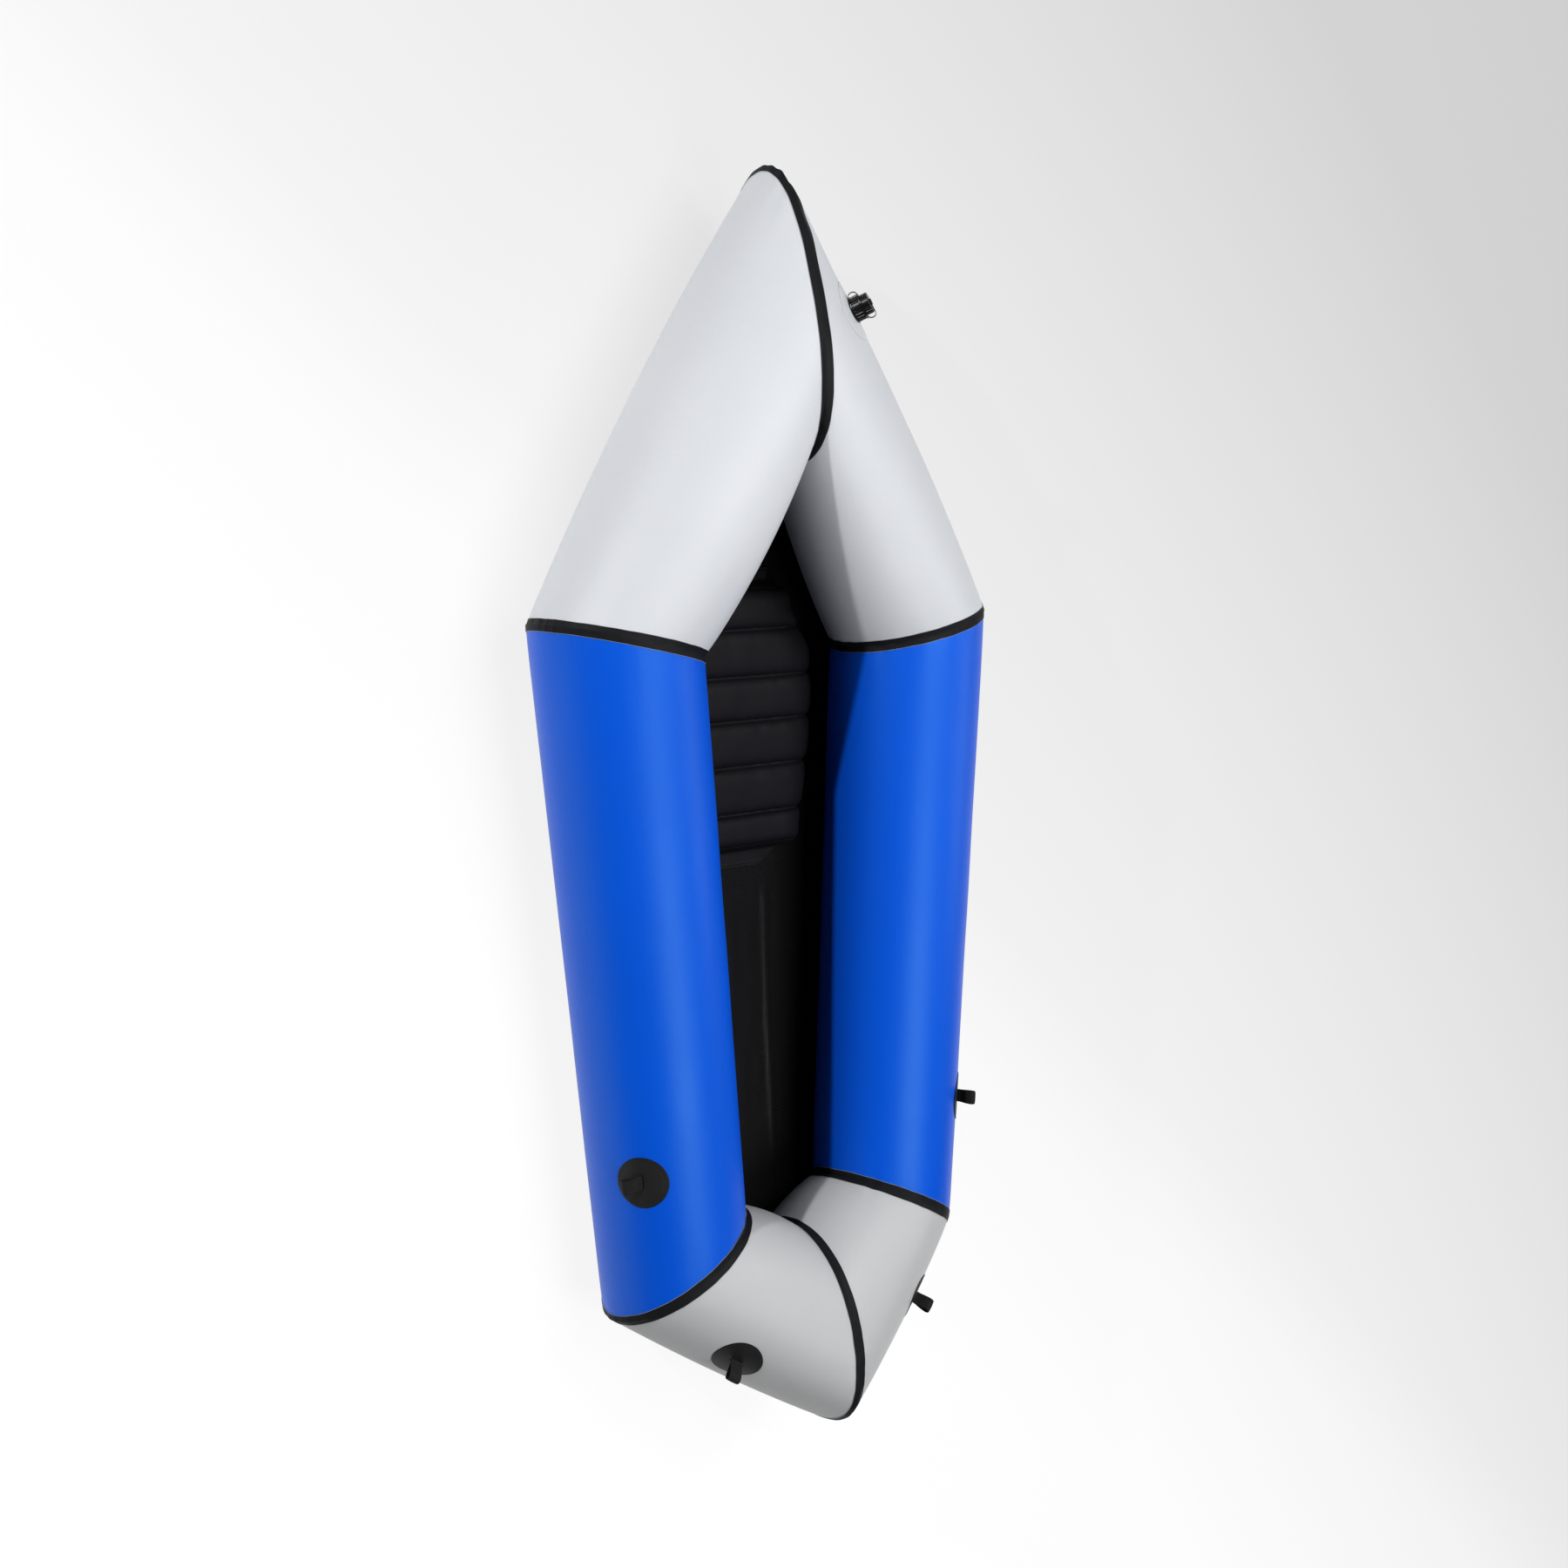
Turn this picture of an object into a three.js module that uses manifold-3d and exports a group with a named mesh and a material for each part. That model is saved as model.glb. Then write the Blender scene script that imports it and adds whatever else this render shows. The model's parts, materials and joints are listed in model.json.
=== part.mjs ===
// A one-person packraft: six inflated tube panels cut to shared mitre planes, taped at every joint,
// over a welded floor sheet, with a channelled seat, a screw valve and four webbing tie-down loops.
// Millimetres. X runs across the boat, Y towards the pointed stern, Z up from the ground.
import * as THREE from "three";
import { mergeVertices } from "three/addons/utils/BufferGeometryUtils.js";
import Module from "manifold-3d";

const wasm = await Module();
wasm.setup();

// Clearances and fabric
const gap = 0.3;
const facetAllowance = 1.5;
const fabricWall = 1;
const overrun = 20;

// Tube axes, seen from above: the half span at each joint and the run between joints along the boat
const sternJointHalfSpan = 340;
const bowJointHalfSpan = 254;
const sternRun = 572.3;
const sideRun = 1149;
const bowRun = 169;

// Tube sections at the joints, and how far the grey panels swell at mid length
const sternJointRadius = 151;
const bowJointRadius = 140;
const sternSwell = 14;
const bowSwell = 7;
const sternJointLeanDegrees = 1.4;
const bowJointLeanDegrees = 1.7;

// Stern seam: an upright oval in the middle plane, tilted nose down, fuller aft than over the cockpit
const sternSeamHeight = 195;
const sternSeamHalfLength = 262.5;
const sternSeamHalfDepth = 123;
const sternSeamTiltDegrees = -12.5;
const sternSeamFullnessShares = { aft: 0.83, fore: 0.94 };
const sternSeamSkewShare = 0.058;

// Bow seam: a rounder oval, tilted so that the bow turns up
const bowSeamHeight = 205;
const bowSeamHalfLength = 195;
const bowSeamHalfDepth = 160;
const bowSeamTiltDegrees = -42;
const bowSeamFullnessShares = { aft: 1.04, fore: 1.04 };
const bowSeamSkewShare = -0.136;

// Floor sheet
const floorThickness = 1.2;
const floorOverlap = 16;
const floorInsetShare = 0.03;

// Seam tapes: the arc they cover runs from outboard of the floor, over the top, to the cockpit side
const tapeWidth = 23;
const tapeThickness = 0.8;
const tapeStartDegrees = -50;
const tapeEndDegrees = 240;

// Seat: a pad of welded channels with a flat flange at each end
const seatLength = 497;
const seatFrontToStern = 417;
const seatHalfWidth = 182;
const seatDepth = 66;
const seatMiddle = 34.5;
const seatFlangeDepth = 3;
const seatFlangeLength = 45;
const weldDepthShare = 0.42;
const channelLengthShares = [0.135, 0.183, 0.175, 0.169, 0.181, 0.157];
const channelWidthShares = [0.75, 0.86, 0.95, 1, 0.93, 0.7];
const weldNotch = 12;
const channelCrownPower = 0.6;
const seatCrownPower = 3;
const seatEdgeShare = 0.16;
const flangeRootShare = 0.3;
const frontFlangeHalfWidth = 90;
const frontFlangeTipHalfWidth = 52;
const rearFlangeHalfWidth = 92;

// Seat inflation stem, lying across the rear flange
const stemRadius = 5;
const stemBore = 2.6;
const stemStart = 55;
const stemLength = 46;
const stemInset = 8;
const stemTabLength = 18;
const stemTabWidth = 22;
const stemTabThickness = 1.5;
const nozzleLength = 12;
const nozzleTipRadius = 3.2;
const nozzleTipLength = 4;
const nozzleKnurls = 10;

// Tie-down patches and webbing loops
const patchRadius = 47;
const patchThickness = 1.2;
const slitHalfLength = 15.5;
const slitHalfWidth = 2.1;
const slitFullnessShare = 0.6;
const sidePatchAlongShare = 0.795;
const sidePatchAngleDegrees = 40;
const bowPatchAlongShare = 0.41;
const bowPatchAngleDegrees = 38;
const webbingWidth = 25;
const webbingThickness = 1.5;
const loopReach = 38;
const loopEyeLength = 27;
const loopEyeGap = 12;
const eyeShoulderShare = 1 / 3;
const eyeThroatShare = 1 / 5;
const eyeThroatGapShare = 1 / 3;
const loopPivotHeight = 1;
const loopLeanDegrees = { starboard_side: -58, port_side: 25, starboard_bow: -15, port_bow: -4 };

// Main valve: places on the port stern tube, then sizes from its axis outwards
const valveAlongShare = 0.24;
const valveAngleDegrees = 41;
const valvePatchRadius = 57;
const valvePatchThickness = 1;
const flangeRadius = 34;
const flangeThickness = 1.2;
const boreRadius = 11;
const neckRadius = 14.6;
const stubRadius = 16.8;
const screwClearance = 0.33;
const collarWall = 3.3;
const collarHeight = 6;
const collarDepth = 9;
const gasketHeight = 0.7;
const skirtWall = 2.3;
const skirtLap = 2.6;
const bodyHeight = 14.4;
const stubDepth = 6;
const neckHeight = 9.3;
const leashThickness = 1;
const leashWidth = 5;
const leashLugWidth = 3.2;
const bowReach = 9;
const bowWallShare = 1.4;
const capRadius = 19;
const capHeight = 13.4;
const capRoof = 5;
const capPlugDepth = 4.6;
const buttonRadius = 4;
const buttonHeadRadius = 6;
const buttonHeadHeight = 1.3;
const knurlCount = 24;
const knurlDepth = 1.1;
const spiderDepth = 1.5;
const spiderHubRadius = 2.8;
const spiderBarWidth = 2.4;
const membraneRadius = 13.5;
const membraneThickness = 0.9;
const membraneStemRadius = 1.3;
const membraneHeadRadius = 2.2;

// Facet counts
const ringSteps = 36;
const sternSteps = 6;
const sideSteps = 4;
const bowSteps = 4;
const plateSteps = 24;
const plateRings = 3;
const latheSteps = 24;
const loopCurveSteps = 8;
const bowCurveSteps = 10;
const seatStepsAcross = 14;
const seatStepsPerChannel = 5;
const solveSteps = 4;

const degree = Math.PI / 180;
const up = new THREE.Vector3(0, 0, 1);
const middlePlane = new THREE.Vector3(1, 0, 0);

// Finishes
const finish = (color, roughness, metalness = 0) => ({ color, roughness, metalness });
const blueFabric = finish(0x0b4fd0, 0.42);
const greyFabric = finish(0xc4c7ca, 0.45);
const blackTape = finish(0x1a1b1d, 0.5);
const blackFabric = finish(0x141417, 0.6);
const blackPlastic = finish(0x0e0e0f, 0.4);
const webbing = finish(0x101012, 0.85);
const greyRubber = finish(0x3a3c40, 0.7);

const raft = new THREE.Group();

function addMesh(name, geometry, look) {
  const mesh = new THREE.Mesh(geometry, new THREE.MeshStandardMaterial(look));
  mesh.name = name;
  raft.add(mesh);
  return mesh;
}

// Solids: joining and cutting

function toSolid(geometry) {
  const bare = geometry.clone();
  bare.deleteAttribute("normal");
  bare.deleteAttribute("uv");
  const merged = mergeVertices(bare, 1e-4);
  const vertProperties = new Float32Array(merged.attributes.position.array);
  const triVerts = new Uint32Array(merged.index.array);
  return new wasm.Manifold(new wasm.Mesh({ numProp: 3, vertProperties, triVerts }));
}

function toGeometry(solid) {
  const mesh = solid.getMesh();
  const geometry = new THREE.BufferGeometry();
  geometry.setAttribute("position", new THREE.BufferAttribute(mesh.vertProperties, 3));
  geometry.setIndex(new THREE.BufferAttribute(mesh.triVerts, 1));
  return geometry;
}

const join = (first, ...others) =>
  toGeometry(others.reduce((sum, other) => sum.add(toSolid(other)), toSolid(first)));

const cut = (first, ...others) =>
  toGeometry(others.reduce((rest, other) => rest.subtract(toSolid(other)), toSolid(first)));

// A closed skin over a row of equal sections, each a closed polygon of points. As a loop, the last
// section joins the first; otherwise both ends are capped by a ladder across the polygon.
function skin(sections, loop) {
  const size = sections[0].length;
  const points = sections.flat();
  const faces = [];
  const rows = loop ? sections.length : sections.length - 1;
  for (let i = 0; i < rows; i++) {
    const here = i * size;
    const next = ((i + 1) % sections.length) * size;
    for (let j = 0; j < size; j++) {
      const k = (j + 1) % size;
      faces.push([here + j, here + k, next + k], [here + j, next + k, next + j]);
    }
  }
  if (!loop) {
    const last = (sections.length - 1) * size;
    for (let j = 0; j < size / 2 - 1; j++) {
      const [a, b, c, d] = [j, j + 1, size - 2 - j, size - 1 - j];
      faces.push([a, c, b], [a, d, c], [last + a, last + b, last + c], [last + a, last + c, last + d]);
    }
  }
  return closedGeometry(points, faces);
}

// Faces as a geometry whose volume is positive, with points that meet merged and empty faces dropped
function closedGeometry(points, faces) {
  const loose = new THREE.BufferGeometry().setFromPoints(points);
  loose.setIndex(faces.flat());
  const geometry = mergeVertices(loose, 1e-4);
  const corner = (i) => new THREE.Vector3().fromBufferAttribute(geometry.attributes.position, i);
  const kept = [];
  let volume = 0;
  for (let i = 0; i < geometry.index.count; i += 3) {
    const [a, b, c] = [0, 1, 2].map((k) => geometry.index.getX(i + k));
    if (a === b || b === c || c === a) continue;
    kept.push([a, b, c]);
    volume += corner(a).dot(new THREE.Vector3().crossVectors(corner(b), corner(c)));
  }
  return geometry.setIndex(kept.flatMap(([a, b, c]) => (volume > 0 ? [a, b, c] : [a, c, b])));
}

// Mirrored to the starboard side, with its faces turned back outwards
function mirrored(geometry) {
  const copy = geometry.clone().scale(-1, 1, 1);
  const index = [...copy.index.array];
  for (let i = 0; i < index.length; i += 3) [index[i + 1], index[i + 2]] = [index[i + 2], index[i + 1]];
  return copy.setIndex(index);
}

// Tube panels of the port side. Angles go round a tube from its outboard side, over the top.

const groundLift = floorThickness + gap;
const sternSeam = new THREE.Vector3(0, sternRun, sternSeamHeight);
const sternJoint = new THREE.Vector3(sternJointHalfSpan, 0, sternJointRadius + groundLift);
const bowJoint = new THREE.Vector3(bowJointHalfSpan, -sideRun, bowJointRadius + groundLift);
const bowSeam = new THREE.Vector3(0, -sideRun - bowRun, bowSeamHeight);

const direction = (from, to) => to.clone().sub(from).normalize();
const sternAxis = direction(sternSeam, sternJoint);
const sideAxis = direction(sternJoint, bowJoint);
const bowAxis = direction(bowJoint, bowSeam);

function radial(axis, angle) {
  const outboard = new THREE.Vector3().crossVectors(up, axis).normalize();
  const rise = new THREE.Vector3().crossVectors(axis, outboard);
  return outboard.multiplyScalar(Math.cos(angle)).addScaledVector(rise, Math.sin(angle));
}

// The plane in which two panels meet, leaning a little along the boat as it rises
function mitrePlane(before, after, lean) {
  const normal = before.clone().add(after).normalize();
  normal.z -= Math.tan(lean) * normal.y;
  return normal.normalize();
}

// A round tube's edge, slid along its axis to the mitre plane
function jointEdge(centre, axis, plane, radius) {
  return (angle) => {
    const point = centre.clone().addScaledVector(radial(axis, angle), radius);
    const slide = centre.clone().sub(point).dot(plane) / axis.dot(plane);
    return point.addScaledVector(axis, slide);
  };
}

// An oval edge in the middle plane. Its point at an angle is where its normal points that way, so that
// the loft's lines run straight along the tube. The upper half has a skew, and a fullness at each end.
function seamEdge(centre, axis, halfLength, halfDepth, tilt, fullness, skew) {
  const long = new THREE.Vector3(0, Math.cos(tilt), Math.sin(tilt));
  const short = new THREE.Vector3(0, -Math.sin(tilt), Math.cos(tilt));
  return (angle) => {
    const normal = radial(axis, angle);
    const turn = Math.atan2(halfDepth * normal.dot(short), halfLength * normal.dot(long));
    const [c, s] = [Math.cos(turn), Math.sin(turn)];
    const upper = c > 0 ? fullness.aft : fullness.fore;
    const power = s > 0 ? upper : 1;
    const along = halfLength * Math.sign(c) * Math.abs(c) ** power;
    const lean = s > 0 ? 1 - skew * c : 1;
    const across = halfDepth * Math.sign(s) * Math.abs(s) ** power * lean;
    return centre.clone().addScaledVector(long, along).addScaledVector(short, across);
  };
}

const sternPlane = mitrePlane(sternAxis, sideAxis, sternJointLeanDegrees * degree);
const bowPlane = mitrePlane(sideAxis, bowAxis, bowJointLeanDegrees * degree);
const sternSeamEdge = seamEdge(sternSeam, sternAxis, sternSeamHalfLength, sternSeamHalfDepth,
  sternSeamTiltDegrees * degree, sternSeamFullnessShares, sternSeamSkewShare);
const bowSeamEdge = seamEdge(bowSeam, bowAxis, bowSeamHalfLength, bowSeamHalfDepth,
  bowSeamTiltDegrees * degree, bowSeamFullnessShares, bowSeamSkewShare);
const sternJointEdge = jointEdge(sternJoint, sternAxis, sternPlane, sternJointRadius);
const bowJointEdge = jointEdge(bowJoint, sideAxis, bowPlane, bowJointRadius);

const panels = {
  stern: { from: sternSeamEdge, to: sternJointEdge, axis: sternAxis, swell: sternSwell,
    planes: [middlePlane, sternPlane], steps: sternSteps },
  side: { from: sternJointEdge, to: bowJointEdge, axis: sideAxis, swell: 0,
    planes: [sternPlane, bowPlane], steps: sideSteps },
  bow: { from: bowJointEdge, to: bowSeamEdge, axis: bowAxis, swell: bowSwell,
    planes: [bowPlane, middlePlane], steps: bowSteps },
};

// A point of a panel's outer face, at a share of its length and an angle
function panelPoint(panel, share, angle) {
  const swell = panel.swell * 4 * share * (1 - share);
  return panel.from(angle).lerp(panel.to(angle), share).addScaledVector(radial(panel.axis, angle), swell);
}

// The two tangents of the outer face, per unit of share and per radian, and the outward normal
function panelFrame(panel, share, angle) {
  const step = 1e-3;
  const slope = (a, b) => b.sub(a).divideScalar(2 * step);
  const along = slope(panelPoint(panel, share - step, angle), panelPoint(panel, share + step, angle));
  const round = slope(panelPoint(panel, share, angle - step), panelPoint(panel, share, angle + step));
  const normal = new THREE.Vector3().crossVectors(round, along).normalize();
  return { point: panelPoint(panel, share, angle), along, round, normal };
}

// A shift within an end plane that moves the panel's face out by a distance
function shiftInPlane(normal, plane, distance) {
  const flat = normal.clone().addScaledVector(plane, -normal.dot(plane));
  return flat.multiplyScalar(distance / flat.lengthSq());
}

const ringAngles = Array.from({ length: ringSteps }, (_, i) => (i * 2 * Math.PI) / ringSteps);

// A fabric shell open at both ends, pulled back from its end planes by half the clearance
function tubePanel(panel) {
  const sections = ringAngles.map((angle) => {
    const outer = [];
    const inner = [];
    for (let i = 0; i <= panel.steps; i++) {
      const { point, normal } = panelFrame(panel, i / panel.steps, angle);
      const end = i === 0 ? 0 : i === panel.steps ? 1 : -1;
      if (end >= 0) {
        const plane = panel.planes[end];
        const pull = (end ? -1 : 1) * Math.abs(gap / 2 / panel.axis.dot(plane));
        point.addScaledVector(panel.axis, pull);
        inner.push(point.clone().add(shiftInPlane(normal, plane, -fabricWall)));
      } else {
        inner.push(point.clone().addScaledVector(normal, -fabricWall));
      }
      outer.push(point);
    }
    return [...outer, ...inner.reverse()];
  });
  return skin(sections, true);
}

// Seam tapes

const flipX = (point) => point.clone().setX(-point.x);

// A point lifted off a panel's face, half a tape's width from one of its ends
function tapeEdgePoint(panel, end, angle, lift) {
  const { along, round } = panelFrame(panel, end, angle);
  const reach = new THREE.Vector3().crossVectors(along, round.normalize()).length();
  const inset = tapeWidth / 2 / reach;
  const { point, normal } = panelFrame(panel, end ? 1 - inset : inset, angle);
  return point.addScaledVector(normal, lift);
}

function tapeMiddlePoint(panel, end, angle, lift) {
  const { point, normal } = panelFrame(panel, end, angle);
  return point.add(shiftInPlane(normal, panel.planes[end], lift));
}

// A tape over the meeting of two panels: each side gives its edge point at an angle and a lift
function tape(edgeBefore, middle, edgeAfter) {
  const first = Math.ceil((tapeStartDegrees * degree) / ringAngles[1]);
  const last = Math.floor((tapeEndDegrees * degree) / ringAngles[1]);
  const sections = [];
  for (let i = first; i <= last; i++) {
    const angle = i * ringAngles[1];
    const layer = (lift) => [edgeBefore(angle, lift), middle(angle, lift), edgeAfter(angle, lift)];
    sections.push([...layer(gap), ...layer(gap + tapeThickness).reverse()]);
  }
  return skin(sections, false);
}

const jointTape = (before, after) =>
  tape(
    (angle, lift) => tapeEdgePoint(before, 1, angle, lift),
    (angle, lift) => tapeMiddlePoint(before, 1, angle, lift),
    (angle, lift) => tapeEdgePoint(after, 0, angle, lift),
  );

const seamTape = (panel, end) =>
  tape(
    (angle, lift) => flipX(tapeEdgePoint(panel, end, angle, lift)),
    (angle, lift) => tapeMiddlePoint(panel, end, angle, lift).setX(0),
    (angle, lift) => tapeEdgePoint(panel, end, angle, lift),
  );

// Floor sheet: ruled straight across the boat, so it touches each tube where the tube's normal has no
// sideways part. It lies flat under the side tubes and rises with the stern and the bow.

function contactPoint(panel, share) {
  let low = 225 * degree;
  let high = 315 * degree;
  for (let i = 0; i < 40; i++) {
    const middle = (low + high) / 2;
    if (panelFrame(panel, share, middle).normal.x < 0) low = middle;
    else high = middle;
  }
  return panelPoint(panel, share, low);
}

function floorLine() {
  const stations = [];
  const walk = (panel, from, to, flat) => {
    for (let i = 0; i <= panel.steps; i++) {
      const share = from + ((to - from) * i) / panel.steps;
      const point = contactPoint(panel, share);
      point.z = flat ? floorThickness : Math.max(point.z - gap, floorThickness);
      const previous = stations.at(-1);
      if (!previous || previous.y - point.y > floorOverlap) stations.push(point);
    }
  };
  walk(panels.stern, floorInsetShare, 1 - floorInsetShare, false);
  walk(panels.side, 0, 1, true);
  walk(panels.bow, floorInsetShare, 1 - floorInsetShare, false);
  return stations;
}

const floorStations = floorLine();

// The height of the floor's upper face at a place along the boat
function floorLevel(y) {
  const next = Math.max(floorStations.findIndex((station) => station.y <= y), 1);
  const [a, b] = [floorStations[next - 1], floorStations[next]];
  return a.z + ((b.z - a.z) * (y - a.y)) / (b.y - a.y);
}

function floorSheet() {
  const acrossShares = [-1, -0.5, 0, 0.5, 1];
  const sections = floorStations.map(({ x, y, z }) => {
    const half = x + floorOverlap;
    const layer = (drop) => acrossShares.map((share) => new THREE.Vector3(share * half, y, z - drop));
    return [...layer(0), ...layer(floorThickness).reverse()];
  });
  return skin(sections, false);
}

// Seat

const seatFront = -seatFrontToStern;
const seatRear = seatFront + seatLength;
const channelCount = channelLengthShares.length;

// Half width, middle height and half depth of the seat at each station from front to rear
function seatStations() {
  const stations = [];
  const flange = (y, half) => {
    const middle = floorLevel(y) + gap + seatFlangeDepth / 2;
    stations.push({ y, half, middle, depth: seatFlangeDepth / 2 });
  };
  flange(seatFront - seatFlangeLength, frontFlangeTipHalfWidth);
  flange(seatFront - seatFlangeLength * flangeRootShare, frontFlangeHalfWidth);
  let start = seatFront;
  channelLengthShares.forEach((lengthShare, channel) => {
    const length = lengthShare * seatLength;
    for (let i = channel ? 1 : 0; i <= seatStepsPerChannel; i++) {
      const share = i / seatStepsPerChannel;
      const crown = Math.sin(Math.PI * share) ** channelCrownPower;
      const beside = Math.min(Math.max(share < 0.5 ? channel - 1 : channel + 1, 0), channelCount - 1);
      const widths = [channel, beside].map((k) => channelWidthShares[k] * seatHalfWidth);
      const width = widths[0] + (widths[1] - widths[0]) * Math.abs(share - 0.5);
      stations.push({
        y: start + share * length,
        half: width - weldNotch * (1 - crown),
        middle: seatMiddle,
        depth: (seatDepth / 2) * (weldDepthShare + (1 - weldDepthShare) * crown),
      });
    }
    start += length;
  });
  flange(seatRear + seatFlangeLength * flangeRootShare, rearFlangeHalfWidth);
  flange(seatRear + seatFlangeLength, rearFlangeHalfWidth);
  return stations;
}

function seatPad() {
  const acrossShares = Array.from({ length: seatStepsAcross + 1 }, (_, i) => {
    return Math.sin((i / seatStepsAcross - 0.5) * Math.PI);
  });
  const sections = seatStations().map(({ y, half, middle, depth }) => {
    const bulge = (share) => Math.max((1 - Math.abs(share) ** seatCrownPower) ** 0.5, seatEdgeShare);
    const lowest = floorLevel(y) + gap;
    const layer = (side) => acrossShares.map((share) => {
      return new THREE.Vector3(share * half, y, Math.max(middle + side * depth * bulge(share), lowest));
    });
    return [...layer(1), ...layer(-1).reverse()];
  });
  return skin(sections, false);
}

// Plates that follow a tube: rings of points between an inner and an outer outline. Both are drawn flat
// in the tangent plane at the plate's centre and dropped onto the tube.

function panelMap(panel, share, angle) {
  const { point, along, normal } = panelFrame(panel, share, angle);
  const lengthwise = along.normalize();
  const sideways = new THREE.Vector3().crossVectors(normal, lengthwise);
  const at = (a, b) => {
    let [u, v] = [share, angle];
    for (let i = 0; i < solveSteps; i++) {
      const here = panelFrame(panel, u, v);
      const miss = here.point.sub(point);
      const [da, db] = [a - miss.dot(lengthwise), b - miss.dot(sideways)];
      const [ul, us] = [here.along.dot(lengthwise), here.along.dot(sideways)];
      const [vl, vs] = [here.round.dot(lengthwise), here.round.dot(sideways)];
      const area = ul * vs - vl * us;
      u += (da * vs - db * vl) / area;
      v += (db * ul - da * us) / area;
    }
    return panelFrame(panel, u, v);
  };
  return { point, normal, lengthwise, sideways, at };
}

function plate(map, inner, outer, lift, thickness) {
  const sections = [];
  for (let i = 0; i < plateSteps; i++) {
    const turn = (i * 2 * Math.PI) / plateSteps;
    const layer = (height) =>
      Array.from({ length: plateRings + 1 }, (_, ring) => {
        const share = ring / plateRings;
        const [a, b] = inner(turn).map((value, k) => value + (outer(turn)[k] - value) * share);
        const { point, normal } = map.at(a, b);
        return point.addScaledVector(normal, height);
      });
    sections.push([...layer(lift + thickness), ...layer(lift).reverse()]);
  }
  return skin(sections, true);
}

const circle = (radius) => (turn) => [radius * Math.cos(turn), radius * Math.sin(turn)];
const slit = (turn) => {
  const across = Math.sign(Math.sin(turn)) * Math.abs(Math.sin(turn)) ** slitFullnessShare;
  return [slitHalfLength * Math.cos(turn), slitHalfWidth * across];
};

// A frame whose Z is the outward normal and whose X runs along the tube
function seatedMatrix(map, height) {
  const basis = new THREE.Matrix4().makeBasis(map.lengthwise, map.sideways, map.normal);
  const place = map.point.clone().addScaledVector(map.normal, height);
  return basis.setPosition(place);
}

// Webbing loop: two sewn layers that open into an eye. Its profile lies in the YZ plane and the
// webbing is as wide as X. Its foot is round about the pivot.
function webbingLoop() {
  const stemHalf = webbingThickness;
  const footRadius = stemHalf;
  const eyeStart = loopReach - loopEyeLength - webbingThickness;
  const shoulder = eyeStart + eyeShoulderShare * loopEyeLength;
  const throat = eyeStart + eyeThroatShare * loopEyeLength;
  const inner = loopEyeGap / 2;
  const half = inner + webbingThickness;
  const narrow = eyeThroatGapShare * inner;
  const centre = loopReach - half;
  const outline = new THREE.Shape();
  outline.absarc(0, 0, footRadius, Math.PI, 2 * Math.PI, false);
  outline.lineTo(stemHalf, eyeStart / 2);
  outline.bezierCurveTo(stemHalf, eyeStart, half, shoulder, half, centre);
  outline.absarc(0, centre, half, 0, Math.PI, false);
  outline.bezierCurveTo(-half, shoulder, -stemHalf, eyeStart, -stemHalf, eyeStart / 2);
  const eye = new THREE.Path();
  eye.moveTo(0, eyeStart);
  eye.bezierCurveTo(narrow, throat, inner, shoulder, inner, centre);
  eye.absarc(0, centre, inner, 0, Math.PI, false);
  eye.bezierCurveTo(-inner, shoulder, -narrow, throat, 0, eyeStart);
  outline.holes.push(eye);
  const settings = { depth: webbingWidth, bevelEnabled: false, curveSegments: loopCurveSteps };
  const geometry = new THREE.ExtrudeGeometry(outline, settings).translate(0, 0, -webbingWidth / 2);
  const basis = new THREE.Matrix4().makeBasis(
    new THREE.Vector3(0, 1, 0), new THREE.Vector3(0, 0, 1), new THREE.Vector3(1, 0, 0));
  return geometry.applyMatrix4(basis);
}

function addTieDown(side, place, panel, share, angle) {
  const map = panelMap(panel, share, angle);
  const disc = plate(map, slit, circle(patchRadius), gap, patchThickness);
  const name = side + "_" + place;
  const lean = new THREE.Matrix4().makeRotationX(loopLeanDegrees[name] * degree);
  const seat = seatedMatrix(map, gap + patchThickness + loopPivotHeight);
  const loop = mergeVertices(bareGeometry(webbingLoop().applyMatrix4(seat.multiply(lean))), 1e-4);
  const onSide = side === "starboard" ? mirrored : (geometry) => geometry;
  addMesh(name + "_patch", onSide(disc), blackTape);
  addMesh(name + "_loop", onSide(loop), webbing);
}

function bareGeometry(geometry) {
  geometry.deleteAttribute("normal");
  geometry.deleteAttribute("uv");
  return geometry;
}

// Valve, drawn about its own axis from the tube's face upwards, then set on the port stern tube

const collarBore = stubRadius + screwClearance;
const collarRadius = collarBore + collarWall;
const patchBore = collarRadius + 3 * gap;
const gasketTop = collarHeight + gap + gasketHeight;
const deckLevel = gasketTop + gap;
const bodyTop = deckLevel - skirtLap + bodyHeight;
const skirtBore = collarRadius + gap;
const bodyRadius = skirtBore + skirtWall;
const skirtFoot = deckLevel - skirtLap - gap;
const neckTop = bodyTop + neckHeight;
const valveLeashLevel = bodyTop + gap;
const capLeashLevel = valveLeashLevel + leashThickness + gap;
const capFoot = capLeashLevel + leashThickness + gap;
const capTop = capFoot + capHeight;
const capBore = neckRadius + gap;
const buttonNeckTop = capTop + leashThickness + 2 * gap;

// A closed profile of radii and heights turned about Z
function lathe(profile) {
  const sections = Array.from({ length: latheSteps }, (_, i) => {
    const turn = (i * 2 * Math.PI) / latheSteps;
    return profile.map(([r, z]) => new THREE.Vector3(r * Math.cos(turn), r * Math.sin(turn), z));
  });
  return skin(sections, true);
}

const ringSolid = (bore, radius, low, high) =>
  lathe([[bore, low], [radius, low], [radius, high], [bore, high]]);

// A box from one corner to the other
function block(x0, y0, z0, x1, y1, z1) {
  const box = new THREE.BoxGeometry(x1 - x0, y1 - y0, z1 - z0);
  return box.translate((x0 + x1) / 2, (y0 + y1) / 2, (z0 + z1) / 2);
}

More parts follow.
